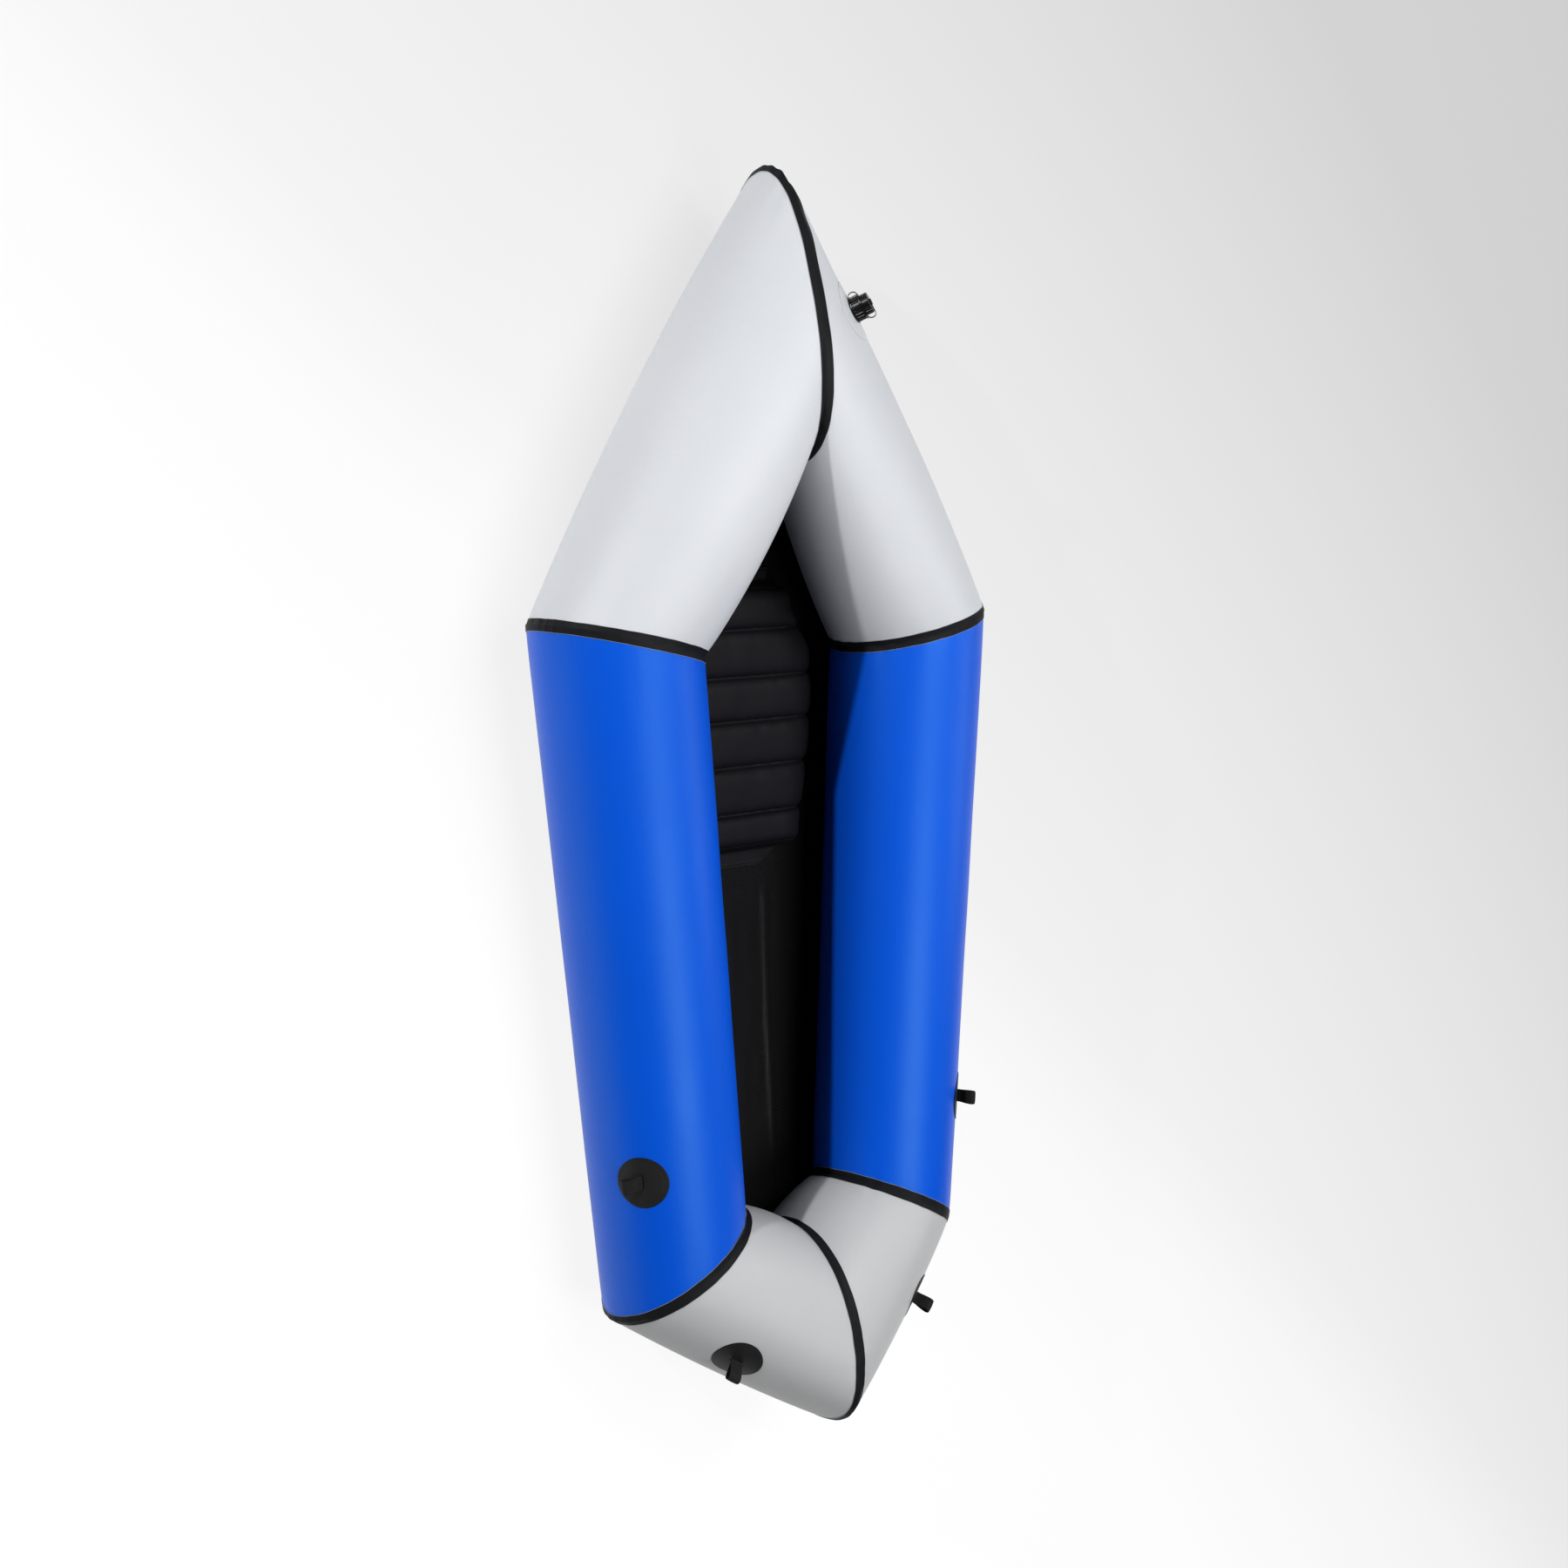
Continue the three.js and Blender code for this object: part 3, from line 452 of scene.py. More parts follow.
@dataclass(frozen=True)
class Pucker:
    """The shallow creases that a taped seam leaves in inflated fabric, and one bunch of deeper folds."""

    height: float = 0.0010
    reach: float = 0.034
    steps_around: int = 55
    step_along: float = 0.09
    pinch: float = 0.0016
    pinch_reach: float = 0.02
    slow_height: float = 0.0005
    slow_step: float = 0.14
    slow_steps_around: int = 8
    strength_steps: int = 10
    least_strength: float = 0.45
    strength_range: float = 1.1
    fold_height: float = 0.0
    fold_angle: float = math.radians(36)
    fold_spread: float = math.radians(24)
    fold_reach: float = 0.075
    fold_count: float = 31.0
    fold_sway: float = 2.0
    fold_sink: float = 0.25


@dataclass(frozen=True)
class TubePanel:
    """One inflated panel, lofted between two edges by straight lines that swell at mid length."""

    name: str
    start: RoundEdge | OvalEdge
    end: RoundEdge | OvalEdge
    axis: Array
    swell: float
    planes: tuple[Array, Array]
    seed: int
    pucker: Pucker = Pucker()

    def smooth_point(self, share: Array, angle: Array) -> Array:
        """Returns the loft: (1 - u) start + u end + swell 4 u (1 - u) radial."""
        share = np.asarray(share, float)[..., None]
        ends = self.start(angle) * (1 - share) + self.end(angle) * share
        return ends + self.swell * 4 * share * (1 - share) * radial(self.axis, angle)

    def frame(self, share: Array, angle: Array) -> tuple[Array, Array, Array]:
        """Returns the tangents along and round the panel, and its outward normal, by differences."""
        step = 1e-3
        share, angle = matched(share, angle)
        tangents = []
        for du, da in ((step, 0.0), (0.0, step)):
            ahead = self.smooth_point(share + du, angle + da)
            behind = self.smooth_point(share - du, angle - da)
            tangents.append((ahead - behind) / (2 * step))
        along, around = tangents
        return along, around, unit(np.cross(around, along))

    def relief(self, share: Array, angle: Array) -> Array:
        """Returns how far the fabric stands off the loft.

        The seams pinch the tube a little. From each seam run creases whose height is noise along the
        seam, dying away with the distance from it, and the whole panel has a faint slow unevenness.
        At the pointed tip a bunch of folds is a sine round the tube within a bell.
        """
        p = self.pucker
        length = self.length(angle)
        turns = angle / FULL_TURN
        slow = Ripple(self.seed, p.slow_steps_around)
        relief = p.slow_height * slow(turns * p.slow_steps_around, share * length / p.slow_step)
        for edge, gap in ((0, share * length), (1, (1 - share) * length)):
            gap = np.maximum(gap, 0.0)
            noise = Ripple(self.seed + 7 + edge, p.steps_around)
            crease = noise(turns * p.steps_around, gap / p.step_along + 9)
            uneven = Ripple(self.seed + 17 + edge, p.strength_steps)(turns * p.strength_steps, 3.0)
            strength = p.least_strength + p.strength_range * uneven ** 2
            relief = relief + p.height * crease * strength * np.exp(-gap / p.reach)
            relief = relief - p.pinch * np.exp(-gap / p.pinch_reach)
        if p.fold_height:
            turned_by = np.angle(np.exp(1j * (angle - p.fold_angle)))
            wave = np.sin(p.fold_count * angle + p.fold_sway * np.sin(3 * angle)) - p.fold_sink
            fade = np.exp(-np.maximum(share * length, 0) / p.fold_reach)
            relief = relief + p.fold_height * wave * (bell(turned_by, 0.0, p.fold_spread) * fade)
        return relief

    def point(self, share: Array, angle: Array, lift: float | Array = 0.0) -> Array:
        """Returns points of the creased fabric, lifted along the normal and kept in the end planes."""
        share, angle = matched(share, angle)
        normal = self.frame(share, angle)[2]
        height = self.relief(share, angle) + lift
        base = self.smooth_point(share, angle)
        points = base + height[..., None] * normal
        for end, plane in enumerate(self.planes):
            flat = normal - dot(normal, plane) * plane
            shift = flat * (height[..., None] / dot(flat, flat))
            points = np.where((np.abs(share - end) < 1e-9)[..., None], base + shift, points)
        return points

    def length(self, angle: Array) -> Array:
        """Returns the panel's length along each of its lines."""
        return np.linalg.norm(self.end(angle) - self.start(angle), axis=-1)

    def inset(self, end: int, angle: Array, distance: Array | float) -> Array:
        """Returns the share at a distance from an end, measured square to the seam."""
        along, around, _ = self.frame(np.full_like(angle, float(end)), angle)
        return np.abs(end - distance / np.linalg.norm(np.cross(along, unit(around)), axis=-1))


class TubeSpot:
    """Flat coordinates about one place on a panel: a along the tube and b round it."""

    def __init__(self, panel: TubePanel, share: float, angle: float) -> None:
        """Finds the place and its frame."""
        self.panel, self.share, self.angle = panel, share, angle
        along, _, normal = panel.frame(np.array(share), np.array(angle))
        lengthwise = unit(along)
        centre = panel.smooth_point(np.array(share), np.array(angle))
        self.place = Place(centre, lengthwise, np.cross(normal, lengthwise), normal)

    def at(self, a: Array, b: Array) -> tuple[Array, Array]:
        """Returns the share and angle whose tangent-plane coordinates are a and b, by Newton steps."""
        share, angle = np.full_like(a, self.share), np.full_like(a, self.angle)
        x, y = self.place.x, self.place.y
        for _ in range(6):
            miss = self.panel.smooth_point(share, angle) - self.place.origin
            along, around, _ = self.panel.frame(share, angle)
            da, db = a - miss @ x, b - miss @ y
            area = (along @ x) * (around @ y) - (around @ x) * (along @ y)
            share = share + (da * (around @ y) - db * (around @ x)) / area
            angle = angle + (db * (along @ x) - da * (along @ y)) / area
        return share, angle

    def sheet(self, name: str, side: Side, flat: tuple[Array, Array], height: Array, lift: float,
              masks: dict[str, Array] | None = None) -> Piece:
        """Builds a thin round sheet on the panel, over rings of flat coordinates, with its own height."""
        u, v = self.at(*flat)
        top, bottom = self.panel.point(u, v, lift + height), self.panel.point(u, v, lift)
        uv = tuple(layers(values, values) for values in flat)
        return MeshKit.skin(name, side.place(layers(top, bottom)), uv, loop=True, masks=masks)


@dataclass(frozen=True)
class HullShape:
    """Driving sizes of the tube ring, as the solids have them."""

    stern_joint_half_span: float = 0.340
    bow_joint_half_span: float = 0.254
    stern_run: float = 0.5723
    side_run: float = 1.149
    bow_run: float = 0.169
    stern_joint_radius: float = 0.151
    bow_joint_radius: float = 0.140
    stern_swell: float = 0.014
    bow_swell: float = 0.007
    stern_joint_lean: float = math.radians(1.4)
    bow_joint_lean: float = math.radians(1.7)
    stern_seam_height: float = 0.195
    stern_seam: OvalShape = OvalShape(0.2625, 0.123, math.radians(-12.5), 0.83, 0.94, 0.058)
    bow_seam_height: float = 0.205
    bow_seam: OvalShape = OvalShape(0.195, 0.160, math.radians(-42), 1.04, 1.04, -0.136)
    ground_lift: float = 0.0015
    tip_folds: Pucker = Pucker(fold_height=0.0015)


def mitre_plane(before: Array, after: Array, lean: float) -> Array:
    """Returns the normal of the plane between two tubes, leaning along the boat as it rises."""
    normal = unit(before + after)
    return unit(normal - UP * math.tan(lean) * normal[1])


class Hull:
    """The port half of the tube ring as three panels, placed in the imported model's frame."""

    def __init__(self, shape: HullShape = HullShape()) -> None:
        """Lays the panels out and shifts them so that the side panel meets its solid."""
        self.shape = shape
        self.shift = 0.0
        self.lay_out()
        angle = np.linspace(0, FULL_TURN, 145)
        ends = np.concatenate([self.side.smooth_point(share + 0 * angle, angle) for share in (0.0, 1.0)])
        low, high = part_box("port_side_tube")
        self.shift = (low[1] + high[1]) / 2 - (ends[:, 1].min() + ends[:, 1].max()) / 2
        self.lay_out()
        LOG.info("the tube ring is shifted %.4f m along the boat", self.shift)

    def lay_out(self) -> None:
        """Works out the joints, the planes and the three panels."""
        s, y = self.shape, self.shift
        stern = np.array([0.0, y + s.stern_run, s.stern_seam_height])
        joint = np.array([s.stern_joint_half_span, y, s.stern_joint_radius + s.ground_lift])
        bow_joint = np.array([s.bow_joint_half_span, y - s.side_run, s.bow_joint_radius + s.ground_lift])
        bow = np.array([0.0, y - s.side_run - s.bow_run, s.bow_seam_height])
        middle = np.array([1.0, 0.0, 0.0])
        aft, side, fore = unit(joint - stern), unit(bow_joint - joint), unit(bow - bow_joint)
        plane = mitre_plane(aft, side, s.stern_joint_lean)
        bow_plane = mitre_plane(side, fore, s.bow_joint_lean)
        edge = RoundEdge(joint, aft, plane, s.stern_joint_radius)
        bow_edge = RoundEdge(bow_joint, side, bow_plane, s.bow_joint_radius)
        self.stern = TubePanel("stern", OvalEdge(stern, aft, s.stern_seam), edge, aft, s.stern_swell,
                               (middle, plane), 3, s.tip_folds)
        self.side = TubePanel("side", edge, bow_edge, side, 0.0, (plane, bow_plane), 5)
        self.bow = TubePanel("bow", bow_edge, OvalEdge(bow, fore, s.bow_seam), fore, s.bow_swell,
                             (bow_plane, middle), 6)
        self.panels = (self.stern, self.side, self.bow)

    def contact_angle(self, panel: TubePanel, share: Array) -> Array:
        """Returns where a panel's normal has no sideways part at its underside, by bisection."""
        low, high = (np.full_like(share, math.radians(limit)) for limit in (225, 315))
        for _ in range(30):
            middle = (low + high) / 2
            inward = panel.frame(share, middle)[2][..., 0] < 0
            low, high = np.where(inward, middle, low), np.where(inward, high, middle)
        return low


# Finishes


class Graph:
    """Short calls for adding and linking the nodes of one tree."""

    def __init__(self, tree: bpy.types.NodeTree) -> None:
        """Keeps the tree."""
        self.tree = tree

    def kept(self, kind: str) -> bpy.types.Node:
        """Returns the node of a kind that a new tree starts with."""
        return next(node for node in self.tree.nodes if node.type == kind)

    def add(self, kind: str, **settings: object) -> bpy.types.Node:
        """Adds a node and sets its properties."""
        node = self.tree.nodes.new(kind)
        for name, value in settings.items():
            setattr(node, name, value)
        return node

    def put(self, socket: bpy.types.NodeSocket, value: object) -> None:
        """Links a socket to another, or sets its plain value. A colour may leave out its alpha."""
        if isinstance(value, bpy.types.NodeSocket):
            self.tree.links.new(value, socket)
        elif isinstance(value, tuple) and len(value) == 3 and socket.type == "RGBA":
            socket.default_value = (*value, 1.0)
        else:
            socket.default_value = value

    def fill(self, node: bpy.types.Node, **values: object) -> bpy.types.Node:
        """Puts values into a node's inputs, whose names have underscores here in place of spaces."""
        for label, value in values.items():
            self.put(node.inputs[label.replace("_", " ")], value)
        return node

    def math(self, operation: str, *values: object) -> bpy.types.NodeSocket:
        """Returns the result of a Math node over the values."""
        node = self.add("ShaderNodeMath", operation=operation)
        for socket, value in zip(node.inputs, values):
            self.put(socket, value)
        return node.outputs[0]

    def noise(self, vector: object, scale: object, detail: float) -> bpy.types.NodeSocket:
        """Returns noise at a scale, in waves per metre."""
        node = self.fill(self.add("ShaderNodeTexNoise"), Vector=vector, Scale=scale, Detail=detail)
        return node.outputs["Fac"]

    def spread(self, value: object, low: float, high: float, to_low: float,
               to_high: float) -> bpy.types.NodeSocket:
        """Returns a value mapped from one range to another and kept within it."""
        node = self.add("ShaderNodeMapRange")
        for socket, number in zip(node.inputs, (value, low, high, to_low, to_high)):
            self.put(socket, number)
        return node.outputs[0]

    def blend(self, share: object, first: object, second: object) -> bpy.types.NodeSocket:
        """Returns a mix of two colours."""
        node = self.add("ShaderNodeMix", data_type="RGBA")
        named = {s.identifier: s for s in node.inputs}
        for label, value in (("Factor_Float", share), ("A_Color", first), ("B_Color", second)):
            self.put(named[label], value)
        return next(s for s in node.outputs if s.identifier == "Result_Color")

    def split(self, vector: object) -> Sequence[bpy.types.NodeSocket]:
        """Returns a vector's three numbers."""
        return self.fill(self.add("ShaderNodeSeparateXYZ"), Vector=vector).outputs

    def ray(self, *kinds: str) -> bpy.types.NodeSocket:
        """Returns 1 for rays of any of the kinds, such as Camera, and else 0."""
        path = self.add("ShaderNodeLightPath").outputs
        seen = path[f"Is {kinds[0]} Ray"]
        for kind in kinds[1:]:
            seen = self.math("MAXIMUM", seen, path[f"Is {kind} Ray"])
        return seen


class Paint(Graph):
    """The graph of a new material, with its shader."""

    def __init__(self, name: str) -> None:
        """Makes the material."""
        self.material = bpy.data.materials.new(name)
        self.material.use_nodes = True
        super().__init__(self.material.node_tree)
        self.shader = self.kept("BSDF_PRINCIPLED")

    def surface(self) -> bpy.types.NodeSocket:
        """Returns the piece's own coordinates in metres."""
        return self.add("ShaderNodeUVMap", uv_map="surface").outputs[0]

    def place(self) -> bpy.types.NodeSocket:
        """Returns the point's place in the object."""
        return self.add("ShaderNodeTexCoord").outputs["Object"]

    def bump(self, height: object, distance: float, strength: float,
             below: object | None = None) -> bpy.types.NodeSocket:
        """Returns the normal bent by a height, over another normal where one is given."""
        node = self.fill(self.add("ShaderNodeBump"), Distance=distance, Strength=strength, Height=height)
        if below is not None:
            self.put(node.inputs["Normal"], below)
        return node.outputs["Normal"]


class Group:
    """A shared shader node group, built once."""

    def __init__(self, name: str, inputs: dict[str, float | None], outputs: Sequence[str],
                 build: Callable[[Graph, dict, dict], None]) -> None:
        self.tree = bpy.data.node_groups.new(name, "ShaderNodeTree")
        for label, default in inputs.items():
            kind = "NodeSocketVector" if default is None else "NodeSocketFloat"
            socket = self.tree.interface.new_socket(name=label, in_out="INPUT", socket_type=kind)
            if default is not None:
                socket.default_value = default
        for label in outputs:
            self.tree.interface.new_socket(name=label, in_out="OUTPUT", socket_type="NodeSocketFloat")
        graph = Graph(self.tree)
        source, sink = graph.add("NodeGroupInput"), graph.add("NodeGroupOutput")
        build(graph, {s.name: s for s in source.outputs}, {s.name: s for s in sink.inputs})

    def place(self, graph: Graph, **values: object) -> Sequence[bpy.types.NodeSocket]:
        """Places the group in a material with its own values and returns its outputs."""
        return graph.fill(graph.add("ShaderNodeGroup", node_tree=self.tree), **values).outputs


def build_weave(graph: Graph, source: dict, sink: dict) -> None:
    """Plain weave: the warp shows where |sin u| is the higher of the two ridges, and else the weft."""
    pitch = graph.math("MULTIPLY", source["Threads per metre"], math.pi)
    across, along = graph.split(source["Vector"])[:2]
    u, v = (graph.math("SINE", graph.math("MULTIPLY", part, pitch)) for part in (across, along))
    over = graph.math("MULTIPLY", u, v)
    height = graph.math("ABSOLUTE", over)
    graph.put(sink["Height"], graph.math("ADD", height, graph.math("MULTIPLY", over, 0.25)))
    graph.put(sink["Shade"], graph.math("SUBTRACT", 1.0, graph.math("MULTIPLY", height, source["Contrast"])))


def build_handling(graph: Graph, source: dict, sink: dict) -> None:
    """Slow blotches of tone, handling marks and fine grain at three sizes of noise."""
    broad = graph.noise(source["Vector"], source["Broad"], 3.0)
    fine = graph.noise(source["Vector"], source["Fine"], 4.0)
    mixed = graph.math("ADD", graph.math("MULTIPLY", broad, 0.7), graph.math("MULTIPLY", fine, 0.3))
    scuff = graph.noise(source["Vector"], graph.math("MULTIPLY", source["Broad"], 6.0), 8.0)
    graph.put(sink["Tone"], graph.spread(mixed, 0.3, 0.7, 0.0, 1.0))
    graph.put(sink["Grain"], fine)
    graph.put(sink["Scuff"], graph.spread(scuff, 0.62, 0.78, 0.0, 1.0))


class Groups:
    """The node groups that the finishes share."""

    def __init__(self) -> None:
        """Builds each group once."""
        self.weave = Group("woven_threads", {"Vector": None, "Threads per metre": 2000.0, "Contrast": 0.2},
                           ("Height", "Shade"), build_weave)
        self.handling = Group("handled_surface", {"Vector": None, "Broad": 4.0, "Fine": 120.0},
                              ("Tone", "Grain", "Scuff"), build_handling)


@dataclass(frozen=True)
class CoatedFabric:
    """Coated fabric: a woven base under a thin skin that gives it a satin gloss."""

    name: str
    color: Color
    deep: Color
    roughness: float = 0.4
    threads: float = 1700.0
    weave_depth: float = 0.00004
    crinkle: float = 0.0006
    specular: float = 0.45
    tint: Color = (1.0, 1.0, 1.0)
    index: float = 1.5
    scuffs: float = 0.12
    # Painted light at the rim attribute: a pale highlight on tapes, shade on patches.
    rim: Color | None = None
    thrown: Color | None = None
    contrast: float = 0.12
    blotches: float = 3.5
    grain: float = 160.0
    crinkles: float = 14.0

    def make(self, groups: Groups) -> bpy.types.Material:
        """Returns the material: tone and roughness vary slowly, with a crinkle and a weave as bumps.

        A piece with a rim attribute shows the rim's colour there: a painted highlight along a tape's edges,
        and painted shade at a patch's rim, slit and pressed line.
        The thrown colour is the one that the fabric casts on its neighbours, where it is given.
        """
        paint = Paint(self.name)
        place = paint.place()
        weave = groups.weave.place(paint, Vector=paint.surface(), Threads_per_metre=self.threads,
                                   Contrast=self.contrast)
        uneven = groups.handling.place(paint, Vector=place, Broad=self.blotches, Fine=self.grain)
        pale = tuple(min(1.0, c * 1.12 + 0.012) for c in self.color)
        color = paint.blend(paint.math("MULTIPLY", uneven["Scuff"], self.scuffs),
                            paint.blend(uneven["Tone"], self.deep, self.color), pale)
        # Painted light: the rim colour goes where the rim attribute is.
        if self.rim is not None:
            mask = paint.add("ShaderNodeAttribute", attribute_name="rim").outputs["Fac"]
            color = paint.blend(paint.spread(mask, 0.15, 0.75, 0.0, 1.0), color, self.rim)
        if self.thrown is not None:
            color = paint.blend(paint.ray("Diffuse"), color, self.thrown)
        rough = paint.spread(uneven["Tone"], 0, 1, self.roughness + 0.05, self.roughness - 0.03)
        crinkled = paint.bump(paint.noise(place, self.crinkles, 3.0), self.crinkle, 0.5)
        woven = paint.bump(weave["Height"], self.weave_depth, 0.6, crinkled)
        paint.fill(paint.shader, Base_Color=color, Roughness=rough, Specular_IOR_Level=self.specular,
                   Specular_Tint=self.tint, IOR=self.index, Normal=woven)
        return paint.material


@dataclass(frozen=True)
class MouldedPlastic:
    """Moulded plastic or rubber with a fine spark-eroded grain."""

    name: str
    color: Color
    roughness: float = 0.38
    grain: float = 0.00005
    specular: float = 0.5

    def make(self, groups: Groups) -> bpy.types.Material:
        """Returns the material, with grain as a bump and scuffs on its colour."""
        paint = Paint(self.name)
        uneven = groups.handling.place(paint, Vector=paint.place(), Broad=40.0, Fine=2600.0)
        worn = tuple(min(1.0, c * 1.5 + 0.012) for c in self.color)
        color = paint.blend(paint.math("MULTIPLY", uneven["Scuff"], 0.5), self.color, worn)
        rough = paint.spread(uneven["Grain"], 0.2, 0.8, self.roughness - 0.06, self.roughness + 0.1)
        paint.fill(paint.shader, Base_Color=color, Roughness=rough, Specular_IOR_Level=self.specular,
                   Normal=paint.bump(uneven["Grain"], self.grain, 0.5))
        return paint.material


@dataclass(frozen=True)
class WovenWebbing:
    """Flat nylon webbing: heavy ribs across the band, with a lighter thread between them."""

    name: str
    color: Color
    roughness: float = 0.7
    rib: float = 1100.0
    contrast: float = 0.5
    rib_depth: float = 0.0002
    sheen: float = 0.04
    specular: float = 0.25

    def make(self, groups: Groups) -> bpy.types.Material:
        """Returns the material, with the weave on the band's own coordinates."""
        paint = Paint(self.name)
        weave = groups.weave.place(paint, Vector=paint.surface(), Threads_per_metre=self.rib,
                                   Contrast=self.contrast)
        uneven = groups.handling.place(paint, Vector=paint.place(), Broad=30.0, Fine=900.0)
        pale = tuple(c * 2.0 + 0.006 for c in self.color)
        rough = paint.spread(uneven["Tone"], 0, 1, self.roughness + 0.1, self.roughness - 0.05)
        paint.fill(paint.shader, Base_Color=paint.blend(weave["Shade"], pale, self.color), Roughness=rough,
                   Sheen_Weight=self.sheen, Specular_IOR_Level=self.specular,
                   Normal=paint.bump(weave["Height"], self.rib_depth, 1.0))
        return paint.material


Finish = CoatedFabric | MouldedPlastic | WovenWebbing

BLUE = CoatedFabric("blue_tube_fabric", (0.0006, 0.09, 0.70), (0.0006, 0.083, 0.66), roughness=0.4,
                    specular=0.6, tint=(0.42, 1.0, 0.8), index=1.38, scuffs=0.04,
                    thrown=(0.10, 0.11, 0.22))
GREY = CoatedFabric("grey_tube_fabric", (0.635, 0.652, 0.685), (0.60, 0.618, 0.65), roughness=0.42,
                    specular=0.3)
# The bow panels are the same grey fabric as the stern, painted darker as shade because the bow lies in less
# light.
BOW_GREY_PAINTED_SHADE = CoatedFabric("grey_bow_fabric", (0.515, 0.52, 0.53), (0.49, 0.495, 0.505), roughness=0.42,
                        specular=0.25)
# Its rim colour is a painted highlight along both edges of each tape.
TAPE = CoatedFabric("black_seam_tape", (0.0115, 0.012, 0.0135), (0.0095, 0.010, 0.0115), roughness=0.5,
                    threads=1200, crinkle=0.0009, specular=0.07, scuffs=0.25, rim=(0.34, 0.36, 0.38))
# Its rim colour is painted shade: at the patch's rim, in its slit and in its pressed line.
PATCH = CoatedFabric("black_patch_fabric", (0.0125, 0.0128, 0.0138), (0.010, 0.0103, 0.0112), roughness=0.5,
                     threads=1100, weave_depth=0.00008, specular=0.3, scuffs=0.25, rim=(0.004, 0.004, 0.005))
FLOOR = CoatedFabric("black_floor_fabric", (0.0085, 0.0085, 0.0087), (0.007, 0.007, 0.0072), roughness=0.28,
                     threads=900, weave_depth=0.00006, crinkle=0.0016, specular=0.1, scuffs=0.25)
SEAT = CoatedFabric("charcoal_seat_fabric", (0.0083, 0.0081, 0.0102), (0.0070, 0.0068, 0.0088),
                    roughness=0.55, threads=1500, crinkle=0.0009, specular=0.1, scuffs=0.2)
WEBBING = WovenWebbing("black_webbing", (0.0035, 0.0035, 0.0038))
TACK = WovenWebbing("black_sewing_thread", (0.010, 0.010, 0.011), roughness=0.6, rib=3000.0, contrast=0.3)
PLASTIC = MouldedPlastic("black_valve_plastic", (0.0045, 0.0045, 0.0048), roughness=0.3, specular=0.45)
RUBBER = MouldedPlastic("grey_gasket_rubber", (0.05, 0.05, 0.055), roughness=0.6)


class Wardrobe:
    """Makes each finish once and puts it on pieces."""

    def __init__(self) -> None:
        """Builds the shared groups."""
        self.groups = Groups()
        self.made: dict[str, bpy.types.Material] = {}

    def material(self, finish: Finish) -> bpy.types.Material:
        """Returns a finish's material, made at its first use."""
        if finish.name not in self.made:
            self.made[finish.name] = finish.make(self.groups)
        return self.made[finish.name]

    def dress(self, piece: Piece, finish: Finish) -> Piece:
        """Gives a piece one finish."""
        piece.data.materials.clear()
        piece.data.materials.append(self.material(finish))
        return piece

    def seat(self, piece: Piece, finish: Finish, slot: str, node: str, body: str = "raft") -> None:
        """Dresses a piece, sets it in its solid's place and lets it ride on a body."""
        self.mount(self.dress(piece, finish), slot, node, body)

    def mount(self, piece: Piece, slot: str, node: str, body: str) -> None:
        """Sets a dressed piece in its solid's place and lets it ride on a body."""
        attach(piece, body)
        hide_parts(node)
        LOG.info("%s stands for %s", piece.name, node)


# Assemblies


@dataclass
class TubeSet:
    """The six inflated panels, with the hole that the valve's socket stands in."""

    hull: Hull
    wardrobe: Wardrobe
    valve: TubeSpot
    wall: float = 0.0008
    seam_gap: float = 0.00015
    around: int = 180
    crowding: float = 0.55
    hole_radius: float = 0.0208
    hole_depth: float = 0.02

    def build(self) -> None:
        """Builds and dresses every panel on both sides."""
        looks = ((GREY, "grey_fabric", 110), (BLUE, "blue_fabric", 130), (BOW_GREY_PAINTED_SHADE, "grey_fabric", 70))
        for panel, (finish, slot, rows) in zip(self.hull.panels, looks):
            for side in Side:
                piece = self.sleeve(panel, side, rows)
                if panel is self.valve.panel and side is Side.PORT:
                    self.pierce(piece)
                self.wardrobe.seat(piece, finish, slot, f"{side.word}_{panel.name}_tube")

    def pierce(self, piece: Piece) -> None:
        """Cuts the valve's round hole."""
        radius, reach = self.hole_radius, self.hole_depth
        rows = np.array([(0, -reach, 0, 0), (radius, -reach, 0, 0), (radius, reach, 0, 0), (0, reach, 0, 0)])
        cutter = turned("valve_hole", self.valve.place, rows, Cuts(), 96, ring=False)
        modifier = piece.modifiers.new("hole", "BOOLEAN")
        modifier.operation = "DIFFERENCE"
        modifier.solver = "EXACT"
        modifier.object = cutter
        MeshKit.pick([piece])
        bpy.ops.object.modifier_apply(modifier=modifier.name)
        mesh = cutter.data
        bpy.data.objects.remove(cutter)
        bpy.data.meshes.remove(mesh)

    def sleeve(self, panel: TubePanel, side: Side, rows: int) -> Piece:
        """Builds one panel: a sleeve of outer and inner fabric, looped round the tube.

        Rows crowd towards both seams: u = c (1 - cos(pi t)) / 2 + (1 - c) t.
        """
        t = np.linspace(0, 1, rows)
        share = self.crowding * (1 - np.cos(np.pi * t)) / 2 + (1 - self.crowding) * t
        a, u = np.meshgrid(full_turn(self.around), share, indexing="ij")
        outer, inner = panel.point(u, a), panel.point(u, a, -self.wall)
        for end, sign in ((0, 1), (-1, -1)):
            pull = sign * self.seam_gap / abs(np.dot(panel.axis, panel.planes[end])) * panel.axis
            outer[:, end] += pull
            inner[:, end] += pull
        full = np.linspace(0, FULL_TURN, self.around + 1)
        length = panel.length(full)[:, None] * share[None, :]
        uv = (layers(length, length), (full * self.hull.shape.bow_joint_radius)[:, None])
        points = tip_lean(side.place(layers(outer, inner)))
        return MeshKit.skin(f"{side.word}_{panel.name}_panel", points, uv, loop=True)


